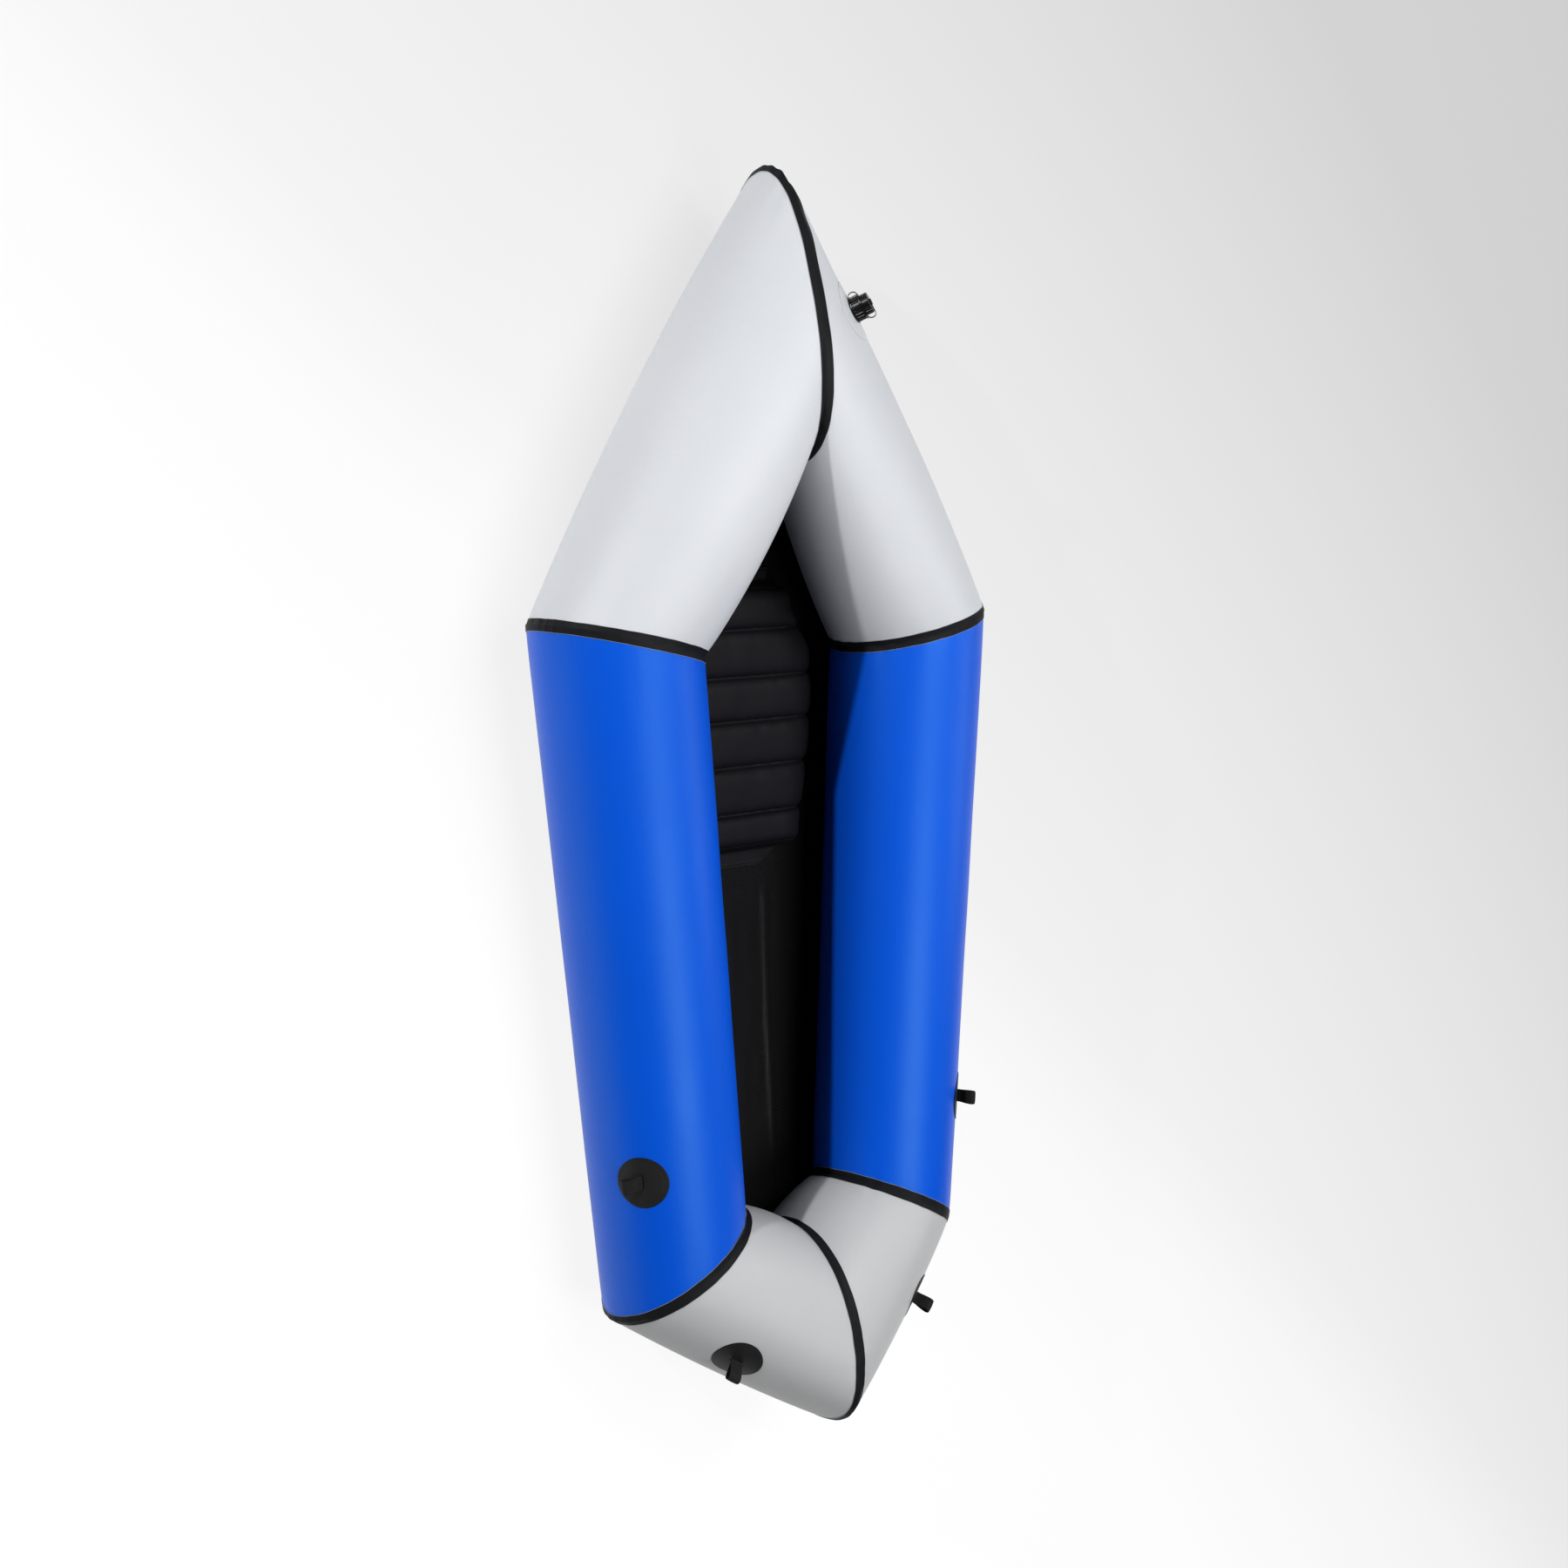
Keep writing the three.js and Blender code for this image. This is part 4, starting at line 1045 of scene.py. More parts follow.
@dataclass
class TapeSet:
    """The six seam tapes."""

    hull: Hull
    wardrobe: Wardrobe
    width: float = 0.023
    thickness: float = 0.0006
    lift: float = 0.0004
    start_angle: float = math.radians(-50)
    end_angle: float = math.radians(240)
    around: int = 400
    edge_shares: tuple[float, ...] = (1.0, 0.93, 0.86, 0.65, 0.45, 0.22, 0.0)
    waver_height: float = 0.0005
    pleat_height: float = 0.0011
    pleat_angle: float = math.radians(14)
    pleat_spread: float = math.radians(13)
    pleat_rise: float = 0.0005
    pleat_rate: float = 50
    port_pleat_turn: float = 0.35
    edge_flattening: float = 0.4
    small_pleats: float = 0.35
    stern_widening: tuple[float, float] = (1.3, 1.08)
    tip_widening: float = 0.3
    tip_zone: tuple[float, float] = (0.3, 1.3)

    def build(self) -> None:
        """Builds the two seam tapes and the four joint tapes."""
        stern, side, bow = self.hull.panels
        self.strip("stern_seam", stern, 0, None, Side.PORT)
        self.strip("bow_seam", bow, 1, None, Side.PORT)
        for half in Side:
            for place, before, after in (("stern", stern, side), ("bow", side, bow)):
                self.strip(f"{half.word}_{place}_joint", before, 1, after, half)

    def pleats(self, angle: Array, name: str) -> Array:
        """Returns the height of the pleats where a joint tape bunches on the tube's outer flank.

        It is the positive half of a sine round the tube, within a bell about one angle.
        """
        if "joint" not in name:
            return 0 * angle
        turn = angle + (self.port_pleat_turn if "port" in name else 0.0)
        tall = 1.0 if name.startswith("starboard_stern") else self.small_pleats
        wave = np.maximum(np.sin(self.pleat_rate * turn), 0) ** 2
        within = bell(turn, self.pleat_angle, self.pleat_spread)
        return tall * (self.pleat_rise + self.pleat_height * wave) * within

    def strip(self, name: str, panel: TubePanel, end: int, other: TubePanel | None, half: Side) -> None:
        """Builds and dresses a tape over the end of a panel and over its neighbour.

        Args:
            name: The tape's name, which its piece and its solid extend.
            panel: The panel on the first side.
            end: The end of it that the tape covers, 0 or 1.
            other: The panel on the second side, or None for the first one's mirror image.
            half: The side of the boat.
        """
        angle = np.linspace(self.start_angle, self.end_angle, self.around)
        waver = self.waver_height * Ripple(31)(angle * 9, 2.0)
        pleats = self.pleats(angle, name)
        shares = np.array(self.edge_shares)

        def half_rows(which: TubePanel, at: int, lift: float, wide: Array | float = 1.0) -> list[Array]:
            """Returns the rows from the tape's edge to the seam on one panel."""
            rows = []
            for share in self.edge_shares:
                distance = share * (self.width / 2 * wide + waver)
                u = which.inset(at, angle, distance) if share else np.full_like(angle, float(at))
                rows.append(which.point(u, angle, lift + pleats * (1 - share ** 4 * self.edge_flattening)))
            return rows

        def face(lift: float) -> Array:
            """Returns all rows of one face of the tape, with the middle row clear of both panels."""
            if other is None:
                near, far = self.stern_widening if name == "stern_seam" else (1.0, 1.0)
                tip = self.tip_widening * (far > 1) * (1 - smooth(angle, *self.tip_zone))
                first = half_rows(panel, end, lift, near)
                second = [starboard(row) for row in half_rows(panel, end, lift, far + tip)]
                first[-1] = first[-1] * np.array([0.0, 1.0, 1.0])
            else:
                first, second = half_rows(panel, end, lift), half_rows(other, 0, lift)
                seam = np.full_like(angle, float(end))
                rise = np.maximum(other.relief(0 * seam, angle) - panel.relief(seam, angle), 0)
                first[-1] = panel.point(seam, angle, lift + pleats + rise)
            return np.stack(first + second[-2::-1], axis=1)

        edge, crown = face(self.lift), face(self.lift + self.thickness)
        across = np.concatenate([-shares, shares[-2::-1]])[None, :] * self.width / 2
        uv = (travelled(crown[:, len(shares) - 1])[:, None], layers(across, across))
        # The rim mask marks both edges of the tape, where a pale highlight is painted.
        count = edge.shape[1]
        rim = np.zeros((len(angle), 2 * count))
        rim[:, [0, count - 1, count, 2 * count - 1]] = 1.0
        points = tip_lean(half.place(layers(edge, crown)))
        piece = MeshKit.skin(name + "_band", points, uv, masks={"rim": rim})
        self.wardrobe.seat(piece, TAPE, "black_tape", name + "_tape")


@dataclass
class Floor:
    """The floor sheet: stretched between the tubes' undersides and welded up round them."""

    hull: Hull
    wardrobe: Wardrobe
    thickness: float = 0.0011
    lift: float = 0.0004
    wrap_angle: float = math.radians(308)
    wrap_steps: int = 12
    across: int = 91
    runs: tuple[tuple[float, float, int], ...] = ((0.006, 0.995, 60), (0.003, 0.997, 110), (0.005, 0.994, 40))
    slack: Waves = Waves(41, 0.0014, 0.07, 0.30, 20)
    creases: Waves = Waves(43, 0.0004, 0.02, 0.09, 30)
    fold_x: float = 0.089
    fold_height: float = 0.0022
    fold_width: float = 0.006
    fold_sway: float = 0.006
    fold_sway_rate: float = 5
    seat_front: tuple[float, float] = (-0.20, -0.14)
    clearance: float = 0.0001
    length_spare: float = 1.01
    width_spare: float = 1.02
    area_spare: float = 1.01

    def build(self) -> None:
        piece = self.sheet()
        self.wardrobe.seat(piece, FLOOR, "black_fabric", "floor_sheet")
        area = MeshKit.area(piece) / 2

    def stations(self) -> tuple[Array, Array]:
        """Returns the contact line's points and the strips that wrap up the port tubes from it."""
        wraps = []
        turn = np.linspace(0, 1, self.wrap_steps)[None, :]
        for panel, run in zip(self.hull.panels, self.runs):
            share = np.linspace(*run)
            angle = self.hull.contact_angle(panel, share)[:, None] * (1 - turn) + self.wrap_angle * turn
            u = np.broadcast_to(share[:, None], angle.shape)
            wraps.append(panel.point(u, angle, self.lift + self.thickness))
        wrap = np.concatenate(wraps)
        return wrap[:, 0], wrap

    def sheet(self) -> Piece:
        """Builds the sheet as two skins, its lower face on the ground under the side tubes."""
        line, wrap = self.stations()
        share = np.linspace(-1, 1, self.across)[None, :]
        x = line[:, :1] * share
        y = np.broadcast_to(line[:, 1:2], x.shape)
        base = np.maximum(line[:, 2:3] - self.lift - self.thickness, self.thickness)
        top = np.stack([x, y, base + self.relief(x, y) * (1 - np.abs(share) ** 8)], axis=-1)
        bottom = top - np.array([0, 0, self.thickness])
        bottom[..., 2] = np.maximum(bottom[..., 2], LEAST_HEIGHT)
        inner, shell = wrap[:, 1:], self.outer_of_wrap(wrap)[:, 1:]
        upper = np.concatenate([starboard(inner)[:, ::-1], top, inner], axis=1)
        lower = np.concatenate([starboard(shell)[:, ::-1], bottom, shell], axis=1)
        across = travelled(upper.swapaxes(0, 1)).T
        across = across - across.mean(axis=1, keepdims=True)
        return MeshKit.skin("floor_cloth", layers(upper, lower), (line[:, 1:2], layers(across, across)))

    def outer_of_wrap(self, wrap: Array) -> Array:
        """Returns the wrap's outer face, one thickness out from the tube, never below the ground."""
        out = unit(np.cross(np.gradient(wrap, axis=1), np.gradient(wrap, axis=0)) + 1e-12)
        shell = wrap + np.where(out[..., 2:] > 0.2, -out, out) * self.thickness
        shell[..., 2] = np.maximum(shell[..., 2], LEAST_HEIGHT)
        return shell

    def relief(self, x: Array, y: Array) -> Array:
        """Returns the slack of the floor: slow waves, a long fold and small creases, clear of the seat."""
        waves = self.slack.height + self.slack(x, y)
        sway = self.fold_sway * np.sin(y * self.fold_sway_rate)
        fold = self.fold_height * bell(x - sway, self.fold_x, self.fold_width)
        crease = self.creases.height + self.creases(x, y)
        return (waves + fold + crease) * (1 - smooth(y, *self.seat_front)) + self.clearance


@dataclass
class SeatPad:
    """The channelled seat with its end flanges, inflation stem and nozzle."""

    hull: Hull
    wardrobe: Wardrobe
    length: float = 0.497
    front_to_joint: float = 0.417
    half_width: float = 0.182
    depth: float = 0.065
    middle: float = 0.0345
    least_level: float = 0.0012
    floor_clearance: float = 0.0018
    flange_length: float = 0.045
    flange_thickness: float = 0.0016
    flange_rows: int = 34
    flange_crease: float = 0.0006
    flange_crease_step: float = 0.030
    flange_seam: float = 0.0009
    zigzag_step: float = 0.0075
    zigzag_height: float = 0.0022
    weld_width: float = 0.005
    weld_notch: float = 0.007
    weld_depth_share: float = 0.56
    crown_power: float = 3.2
    side_power: float = 7.0
    length_shares: tuple[float, ...] = (0.135, 0.183, 0.175, 0.169, 0.181, 0.157)
    width_shares: tuple[float, ...] = (0.78, 0.87, 0.95, 1.0, 0.99, 0.74)
    front_half: tuple[float, float] = (0.074, 0.112)
    rear_half: float = 0.106
    rows_per_channel: int = 26
    crowding: float = 0.7
    across: int = 121
    edge_trim: float = 0.985
    pucker_depth: float = 0.05
    pucker_zone: tuple[float, float] = (0.62, 0.97)
    least_gathers: float = 2.5
    least_pucker: float = 0.6
    least_thickness: float = 0.002
    short_reach: float = 0.10
    slant_reach: float = 0.22
    slant_skew: float = 0.4
    ragged: Waves = Waves(51, 0.4, 0.012, 0.5)
    broad: Waves = Waves(53, 0.0009, 0.035, 0.05)
    short: Waves = Waves(54, 0.0014, 0.010, 1.0)
    slant: Waves = Waves(55, 0.0010, 0.016, 0.03)
    stem_origin: tuple[float, float, float] = (0.055, 0.45016, 0.012421)
    stem_length: float = 0.046
    stem_radius: float = 0.005
    tab_thickness: float = 0.0009
    tab_weld: float = 0.0003
    tab_rounding: float = 0.35
    tab_half: float = 0.011
    tab_start: float = -0.023
    tab_length: float = 0.0204
    nozzle_start: float = -0.0123

    def build(self) -> None:
        """Builds and dresses the pad and its fittings."""
        pad = self.pad()
        self.wardrobe.seat(pad, SEAT, "black_fabric", "seat_pad")
        self.wardrobe.seat(self.stem(), PLASTIC, "black_plastic", "seat_stem")
        self.wardrobe.seat(self.nozzle(), PLASTIC, "black_plastic", "seat_nozzle", "seat_nozzle")

    def stations(self) -> tuple[Array, ...]:
        """Returns columns of the pad's sections from front to rear.

        They are the place along the boat, the half width, the half thickness, the share of the channel
        and the channel's number. Within a channel the half thickness rises from a base at the weld to
        the full one as base + (1 - base) (1 - |2 s - 1|^p)^0.5. The base is the weld's share between two
        channels and the welded sheets alone at the pad's two ends. The half width swells likewise.
        """
        parts = []
        start = self.hull.shift - self.front_to_joint
        last = len(self.length_shares) - 1
        widths = np.array(self.width_shares) * self.half_width
        sheets = self.flange_thickness / self.depth
        t = np.linspace(0, 1, self.rows_per_channel)
        s = self.crowding * (1 - np.cos(np.pi * t)) / 2 + (1 - self.crowding) * t
        for k, share in enumerate(self.length_shares):
            run = share * self.length
            margin = self.weld_width / 2 / run
            inside = np.clip((s - margin) / (1 - 2 * margin), 0, 1)
            crown = np.maximum(1 - np.abs(2 * inside - 1) ** self.crown_power, 0) ** 0.5
            fore, aft = (sheets if k == at else self.weld_depth_share for at in (0, last))
            base = np.where(s < 0.5, fore, aft)
            beside = np.where(s < 0.5, max(k - 1, 0), min(k + 1, last))
            half = widths[k] + (widths[beside] - widths[k]) * np.abs(s - 0.5)
            half = half - self.weld_notch * (1 - crown ** 0.7)
            thick = self.depth / 2 * (base + (1 - base) * crown)
            parts.append(np.stack([start + s * run, half, thick, inside, np.full_like(s, k)])[:, k > 0:])
            start += run
        return tuple(np.concatenate(parts, axis=1)[..., None])

    def floor_level(self, y: Array) -> Array:
        """Returns the height of the floor's upper face along the boat."""
        share = np.linspace(0.03, 0.97, 20)
        line = self.hull.stern.smooth_point(share, self.hull.contact_angle(self.hull.stern, share))
        line = line[np.argsort(line[:, 1])]
        level = np.interp(y, line[:, 1], np.maximum(line[:, 2], self.least_level))
        return np.where(y < line[0, 1], self.least_level, level)

    def pad(self) -> Piece:
        """Builds the pad: channels as pillows between welds, and a thin flange at each end.

        Across the pad the thickness closes as (1 - |x|^p)^0.5. Short creases run square to each weld,
        and the channels' ends gather in puckers.
        """
        y, half, depth, local, channel = self.stations()
        limit = np.pi / 2 * self.edge_trim
        x_share = np.sin(np.linspace(-1, 1, self.across) * limit)[None, :] / math.sin(limit) + 0 * y
        x, rows = half * x_share, y + 0 * x_share
        close = np.maximum(1 - np.abs(x_share) ** self.side_power, 0.0) ** 0.5
        gathers = 0.5 + 0.5 * np.cos(FULL_TURN * (self.least_gathers + channel % 2) * local)
        edge = smooth(np.abs(x_share), *self.pucker_zone)
        pucker = 1 - self.pucker_depth * edge * gathers * (self.least_pucker + self.ragged(rows, x_share))
        seam = self.flange_thickness / 2
        thick = seam + (depth - seam) * close * pucker
        from_weld = np.minimum(local, 1 - local)
        short = self.short(x, channel + 0.5) * np.exp(-from_weld / self.short_reach)
        slant = self.slant(x + self.slant_skew * rows, rows) * np.exp(-from_weld / self.slant_reach)
        relief = (self.broad(x, rows) + short + slant) * close * smooth(depth, 0.001, 0.012)
        lowest = self.floor_level(y) + self.floor_clearance + self.flange_thickness
        least = lowest + self.least_thickness
        top = np.stack([x, rows, np.maximum(self.middle + thick + relief, least)], -1)
        bottom = np.stack([x, rows, np.maximum(self.middle - thick + relief, lowest)], -1)
        front, rear = self.flange(top[0], -1), self.flange(top[-1], 1)
        faces = zip(front, (top, bottom), rear)
        upper, lower = (np.concatenate([fore[::-1], face, aft]) for fore, face, aft in faces)
        uv = (travelled(upper[:, self.across // 2])[:, None], layers(upper[..., 0], lower[..., 0]))
        return MeshKit.skin("seat_cushion", layers(upper, lower), uv, sharp_degrees=70)

    def flange(self, edge: Array, way: int) -> tuple[Array, Array]:
        """Returns the upper and lower rows of one end flange, outwards from the weld.

        It leaves the end weld at the pad's mid height, falls to the floor by the smooth step and lies
        on it with shallow creases. A zigzag seam runs along its free edge.

        Args:
            edge: The pad's end row.
            way: 1 for the rear flange, -1 for the front one.
        """
        share = np.linspace(0.03, 1, self.flange_rows)[:, None]
        start_half = np.abs(edge[:, 0]).max()
        tip, root = (self.rear_half, self.rear_half) if way > 0 else self.front_half
        half = start_half + (root - start_half) * smooth(share, 0, 0.2)
        half = half + (tip - root) * smooth(share, 0.25, 1.0)
        x = half * (edge[:, 0] / start_half)[None, :]
        zigzag = np.abs((x / self.zigzag_step) % 2 - 1) - 0.5
        y = edge[:, 1].mean() + way * share * self.flange_length + 0 * x
        y = y + way * self.zigzag_height * zigzag * smooth(share, 0.82, 1.0)
        rest = self.floor_level(y) + self.floor_clearance
        drop = smooth(share, -0.1, 0.36)
        waves = 1 + Ripple(58)(x / self.flange_crease_step, share * 1.5)
        crease = self.flange_crease * waves * smooth(share, 0.1, 0.5)
        seam = self.flange_seam * bell(share, 0.84, 0.035)
        low = self.middle * (1 - drop) + rest * drop + crease + seam
        lower = np.stack([x, y, np.maximum(low, rest)], axis=-1)
        return lower + self.flange_thickness * UP, lower

    def across_boat(self) -> Place:
        """Returns the stem's frame, whose Z axis runs to port."""
        return Place(np.array(self.stem_origin), -UP, np.array([0.0, 1, 0]), np.array([1.0, 0, 0]))

    def stem(self) -> Piece:
        """Builds the stem, a tube with two beads, and the tab that is welded down beside it."""
        end = self.stem_length * 1e3
        rows = [(2.6, 0), (4.7, 0), (5, 0.6), (5, 3), (4.6, 3.4), (4.6, 6), (5, 6.4), (5, end), (2.6, end)]
        tube = turned("seat_stem_tube", self.across_boat(), eased(profile_rows(rows), 0.0003), Cuts(), 64)
        centre, low = np.array(self.stem_origin), self.stem_origin[2] - self.stem_radius
        t = np.linspace(0, 1, 30)[:, None]
        side = np.linspace(-1, 1, 21)[None, :]
        narrowing = 1 - (1 - smooth(t, 0, 0.2)) ** 2 * self.tab_rounding
        x = centre[0] + self.stem_length / 2 + self.tab_half * narrowing * side
        y = centre[1] + self.tab_start + self.tab_length * t + 0 * x
        weld = self.tab_weld * (1 - bell(np.abs(side), 0.75, 0.08)) + 0 * x
        heights = (low + self.tab_thickness + weld, low + 0 * x)
        top, bottom = (np.stack([x, y, height], -1) for height in heights)
        tab = MeshKit.skin("seat_stem_tab", layers(top, bottom), sharp_degrees=50)
        return MeshKit.joined("seat_stem_and_tab", [tube, tab])

    def nozzle(self) -> Piece:
        """Turns the nozzle: a fluted grip with a smaller closed tip."""
        rows = [(0, -4), (3.2, -4), (3.2, 0), (5, 0, 1), (5, 12, 1), (2.6, 12), (2.6, 6), (0, 6)]
        soft = eased(profile_rows(rows, self.nozzle_start), 0.0006, ring=False)
        cuts = Cuts(flutes=10, flute_depth=0.0007)
        profile = refined(soft, 0.001, ring=False)
        return turned("seat_nozzle_grip", self.across_boat(), profile, cuts, 120, ring=False)


@dataclass
class TieDowns:
    """The four welded patches and the webbing loop that stands in the slit of each."""

    hull: Hull
    wardrobe: Wardrobe
    centre_hole: float = 0.0003
    radius: float = 0.047
    thickness: float = 0.0012
    lift: float = 0.0003
    slit_half: float = 0.0155
    slit_blur: float = 0.002
    slit_width: float = 0.0019
    slit_dip: float = 0.0009
    pull_radius: float = 0.014
    pull_dip: float = 0.0005
    line_share: float = 0.86
    line_width: float = 0.0012
    line_dip: float = 0.0003
    waver_height: float = 0.0002
    rim_dip: float = 0.0003
    # Shares of painted shade in the slit and in the pressed line.
    slit_mark: float = 0.8
    line_mark: float = 0.35
    pivot_height: float = 0.001
    web_width: float = 0.025
    web_thickness: float = 0.00145
    edge_power: float = 0.55
    face_power: float = 0.35
    layer_gap: float = 0.00002
    root_depth: float = 0.0011
    end_margin: float = 0.0015
    reach: float = 0.038
    eye_length: float = 0.027
    eye_half: float = 0.006
    curl: float = 0.0006
    tack_points: int = 61
    tack_half: float = 0.0108
    tack_height: float = 0.0042
    tack_zigzag: float = 0.0011
    tack_radius: float = 0.00028
    tack_clearance: float = 0.00022
    side_spot: tuple[float, float] = (0.795, math.radians(40))
    bow_spot: tuple[float, float] = (0.41, math.radians(38))
    lean_degrees: tuple[float, ...] = (25, -4, -58, -15)

    def build(self) -> None:
        """Builds a patch and a loop at each place: port side, port bow, starboard side, starboard bow."""
        spots = {"side": TubeSpot(self.hull.side, *self.side_spot),
                 "bow": TubeSpot(self.hull.bow, *self.bow_spot)}
        leans = iter(self.lean_degrees)
        for side in Side:
            for name, spot in spots.items():
                label = f"{side.word}_{name}"
                disc = self.disc(label + "_disc", spot, side)
                self.wardrobe.seat(disc, PATCH, "black_tape", label + "_patch")
                loop = self.loop(label + "_webbing", spot, math.radians(next(leans)), side)
                self.wardrobe.mount(loop, "webbing", label + "_loop", label + "_loop")

    def disc(self, name: str, spot: TubeSpot, side: Side) -> Piece:
        """Builds a round patch that follows its tube, as rings of points about its centre.

        Its face dips towards the slit, where the webbing is sewn through, and once more into the slit
        itself, and has a pressed line near its rim.
        """
        turn = full_turn(120)[:, None]
        share = np.concatenate([np.linspace(0, 0.93, 26), [0.95, 0.965, 0.98, 0.99, 1.0]])[None, :]
        radius = self.centre_hole + (self.radius - self.centre_hole) * share
        a, b = radius * np.cos(turn), radius * np.sin(turn)
        within = smooth(self.slit_half - np.abs(a), -self.slit_blur, self.slit_blur)
        slit = within * bell(b, 0.0, self.slit_width)
        pull = bell(radius, 0.0, self.pull_radius)
        line = bell(radius, self.radius * self.line_share, self.line_width)
        waver = Ripple(61)(turn / FULL_TURN * 12 + 0 * share, share * 4)
        height = self.thickness - self.pull_dip * pull - self.slit_dip * slit - self.line_dip * line
        height = height + self.waver_height * waver * share
        height = height - self.rim_dip * smooth(share, 0.965, 1.0)
        # Painted shade: the rim mask darkens the patch's rim, its slit and its pressed line.
        marks = self.slit_mark * slit, self.line_mark * line
        rim = np.clip(smooth(share, 0.955, 0.985) + marks[0] + marks[1], 0, 1)
        return spot.sheet(name, side, (a, b), height, self.lift, {"rim": layers(rim, rim)})

    def loop_line(self) -> Array:
        """Returns the loop's middle line as sideways and outward coordinates.

        Two layers rise side by side, open by one cubic curve each into an eye and close round its end
        in a half circle.
        """
        near, wide = self.web_thickness / 2 + self.layer_gap, self.eye_half + self.web_thickness / 2
        start = self.reach - self.eye_length - self.end_margin
        centre = self.reach - self.eye_half - self.end_margin
        stem = np.stack([np.full(8, near), np.linspace(-self.root_depth, start / 2, 8)], -1)
        t = np.linspace(0, 1, 30)[1:, None]
        a, b, c, d = (np.array(p) for p in ((near, start / 2), (near, start),
                                            (wide, start + self.eye_length / 3), (wide, centre)))
        curve = (1 - t) ** 3 * a + 3 * t * (1 - t) ** 2 * b + 3 * t * t * (1 - t) * c + t ** 3 * d
        turn = np.linspace(0, np.pi / 2, 14)[1:]
        bend = np.stack([wide * np.cos(turn), centre + wide * np.sin(turn)], -1)
        half = np.concatenate([stem, curve, bend])
        return np.concatenate([half, half[-2::-1] * np.array([-1.0, 1.0])])

    def loop(self, name: str, spot: TubeSpot, lean: float, side: Side) -> Piece:
        """Builds one webbing loop, leaning about its slit, with its two bar tacks."""
        frame = spot.place
        origin = frame.origin + frame.z * (self.lift + self.thickness + self.pivot_height)
        place = Place(origin, frame.x, frame.y, frame.z).leaning(lean)
        line = self.loop_line()
        ahead = unit(np.gradient(line, axis=0))
        out = np.stack([ahead[:, 1], -ahead[:, 0]], -1)
        turn = full_turn(28)
        wide = self.web_width / 2 * powered(np.cos(turn), self.edge_power)
        thick = self.web_thickness / 2 * powered(np.sin(turn), self.face_power)
        middle = line[:, None] + thick[None, :, None] * out[:, None]
        run = travelled(line)[:, None]
        curl = self.curl * np.sin(run / run[-1] * np.pi) * (wide[None, :] / self.web_width * 2) ** 2
        points = place.put(wide[None, :] + 0 * middle[..., 0], middle[..., 0], middle[..., 1] - curl)
        band = MeshKit.skin(name, side.place(points), (run, wide[None, :]), sharp_degrees=80)
        pieces = [self.wardrobe.dress(band, WEBBING)]
        x = np.linspace(-1, 1, self.tack_points) * self.tack_half
        zigzag = np.abs((np.arange(self.tack_points) % 4) - 2) - 1.0
        for way in (1, -1):
            y = way * (self.web_thickness + self.tack_clearance) + 0 * x
            path = side.place(place.put(x, y, self.tack_height + self.tack_zigzag * zigzag))
            up = side.place(place.y[None, :])[0] * way
            pieces.append(self.wardrobe.dress(thread_run("tack", path, up, self.tack_radius), TACK))
        return MeshKit.joined(name, pieces)


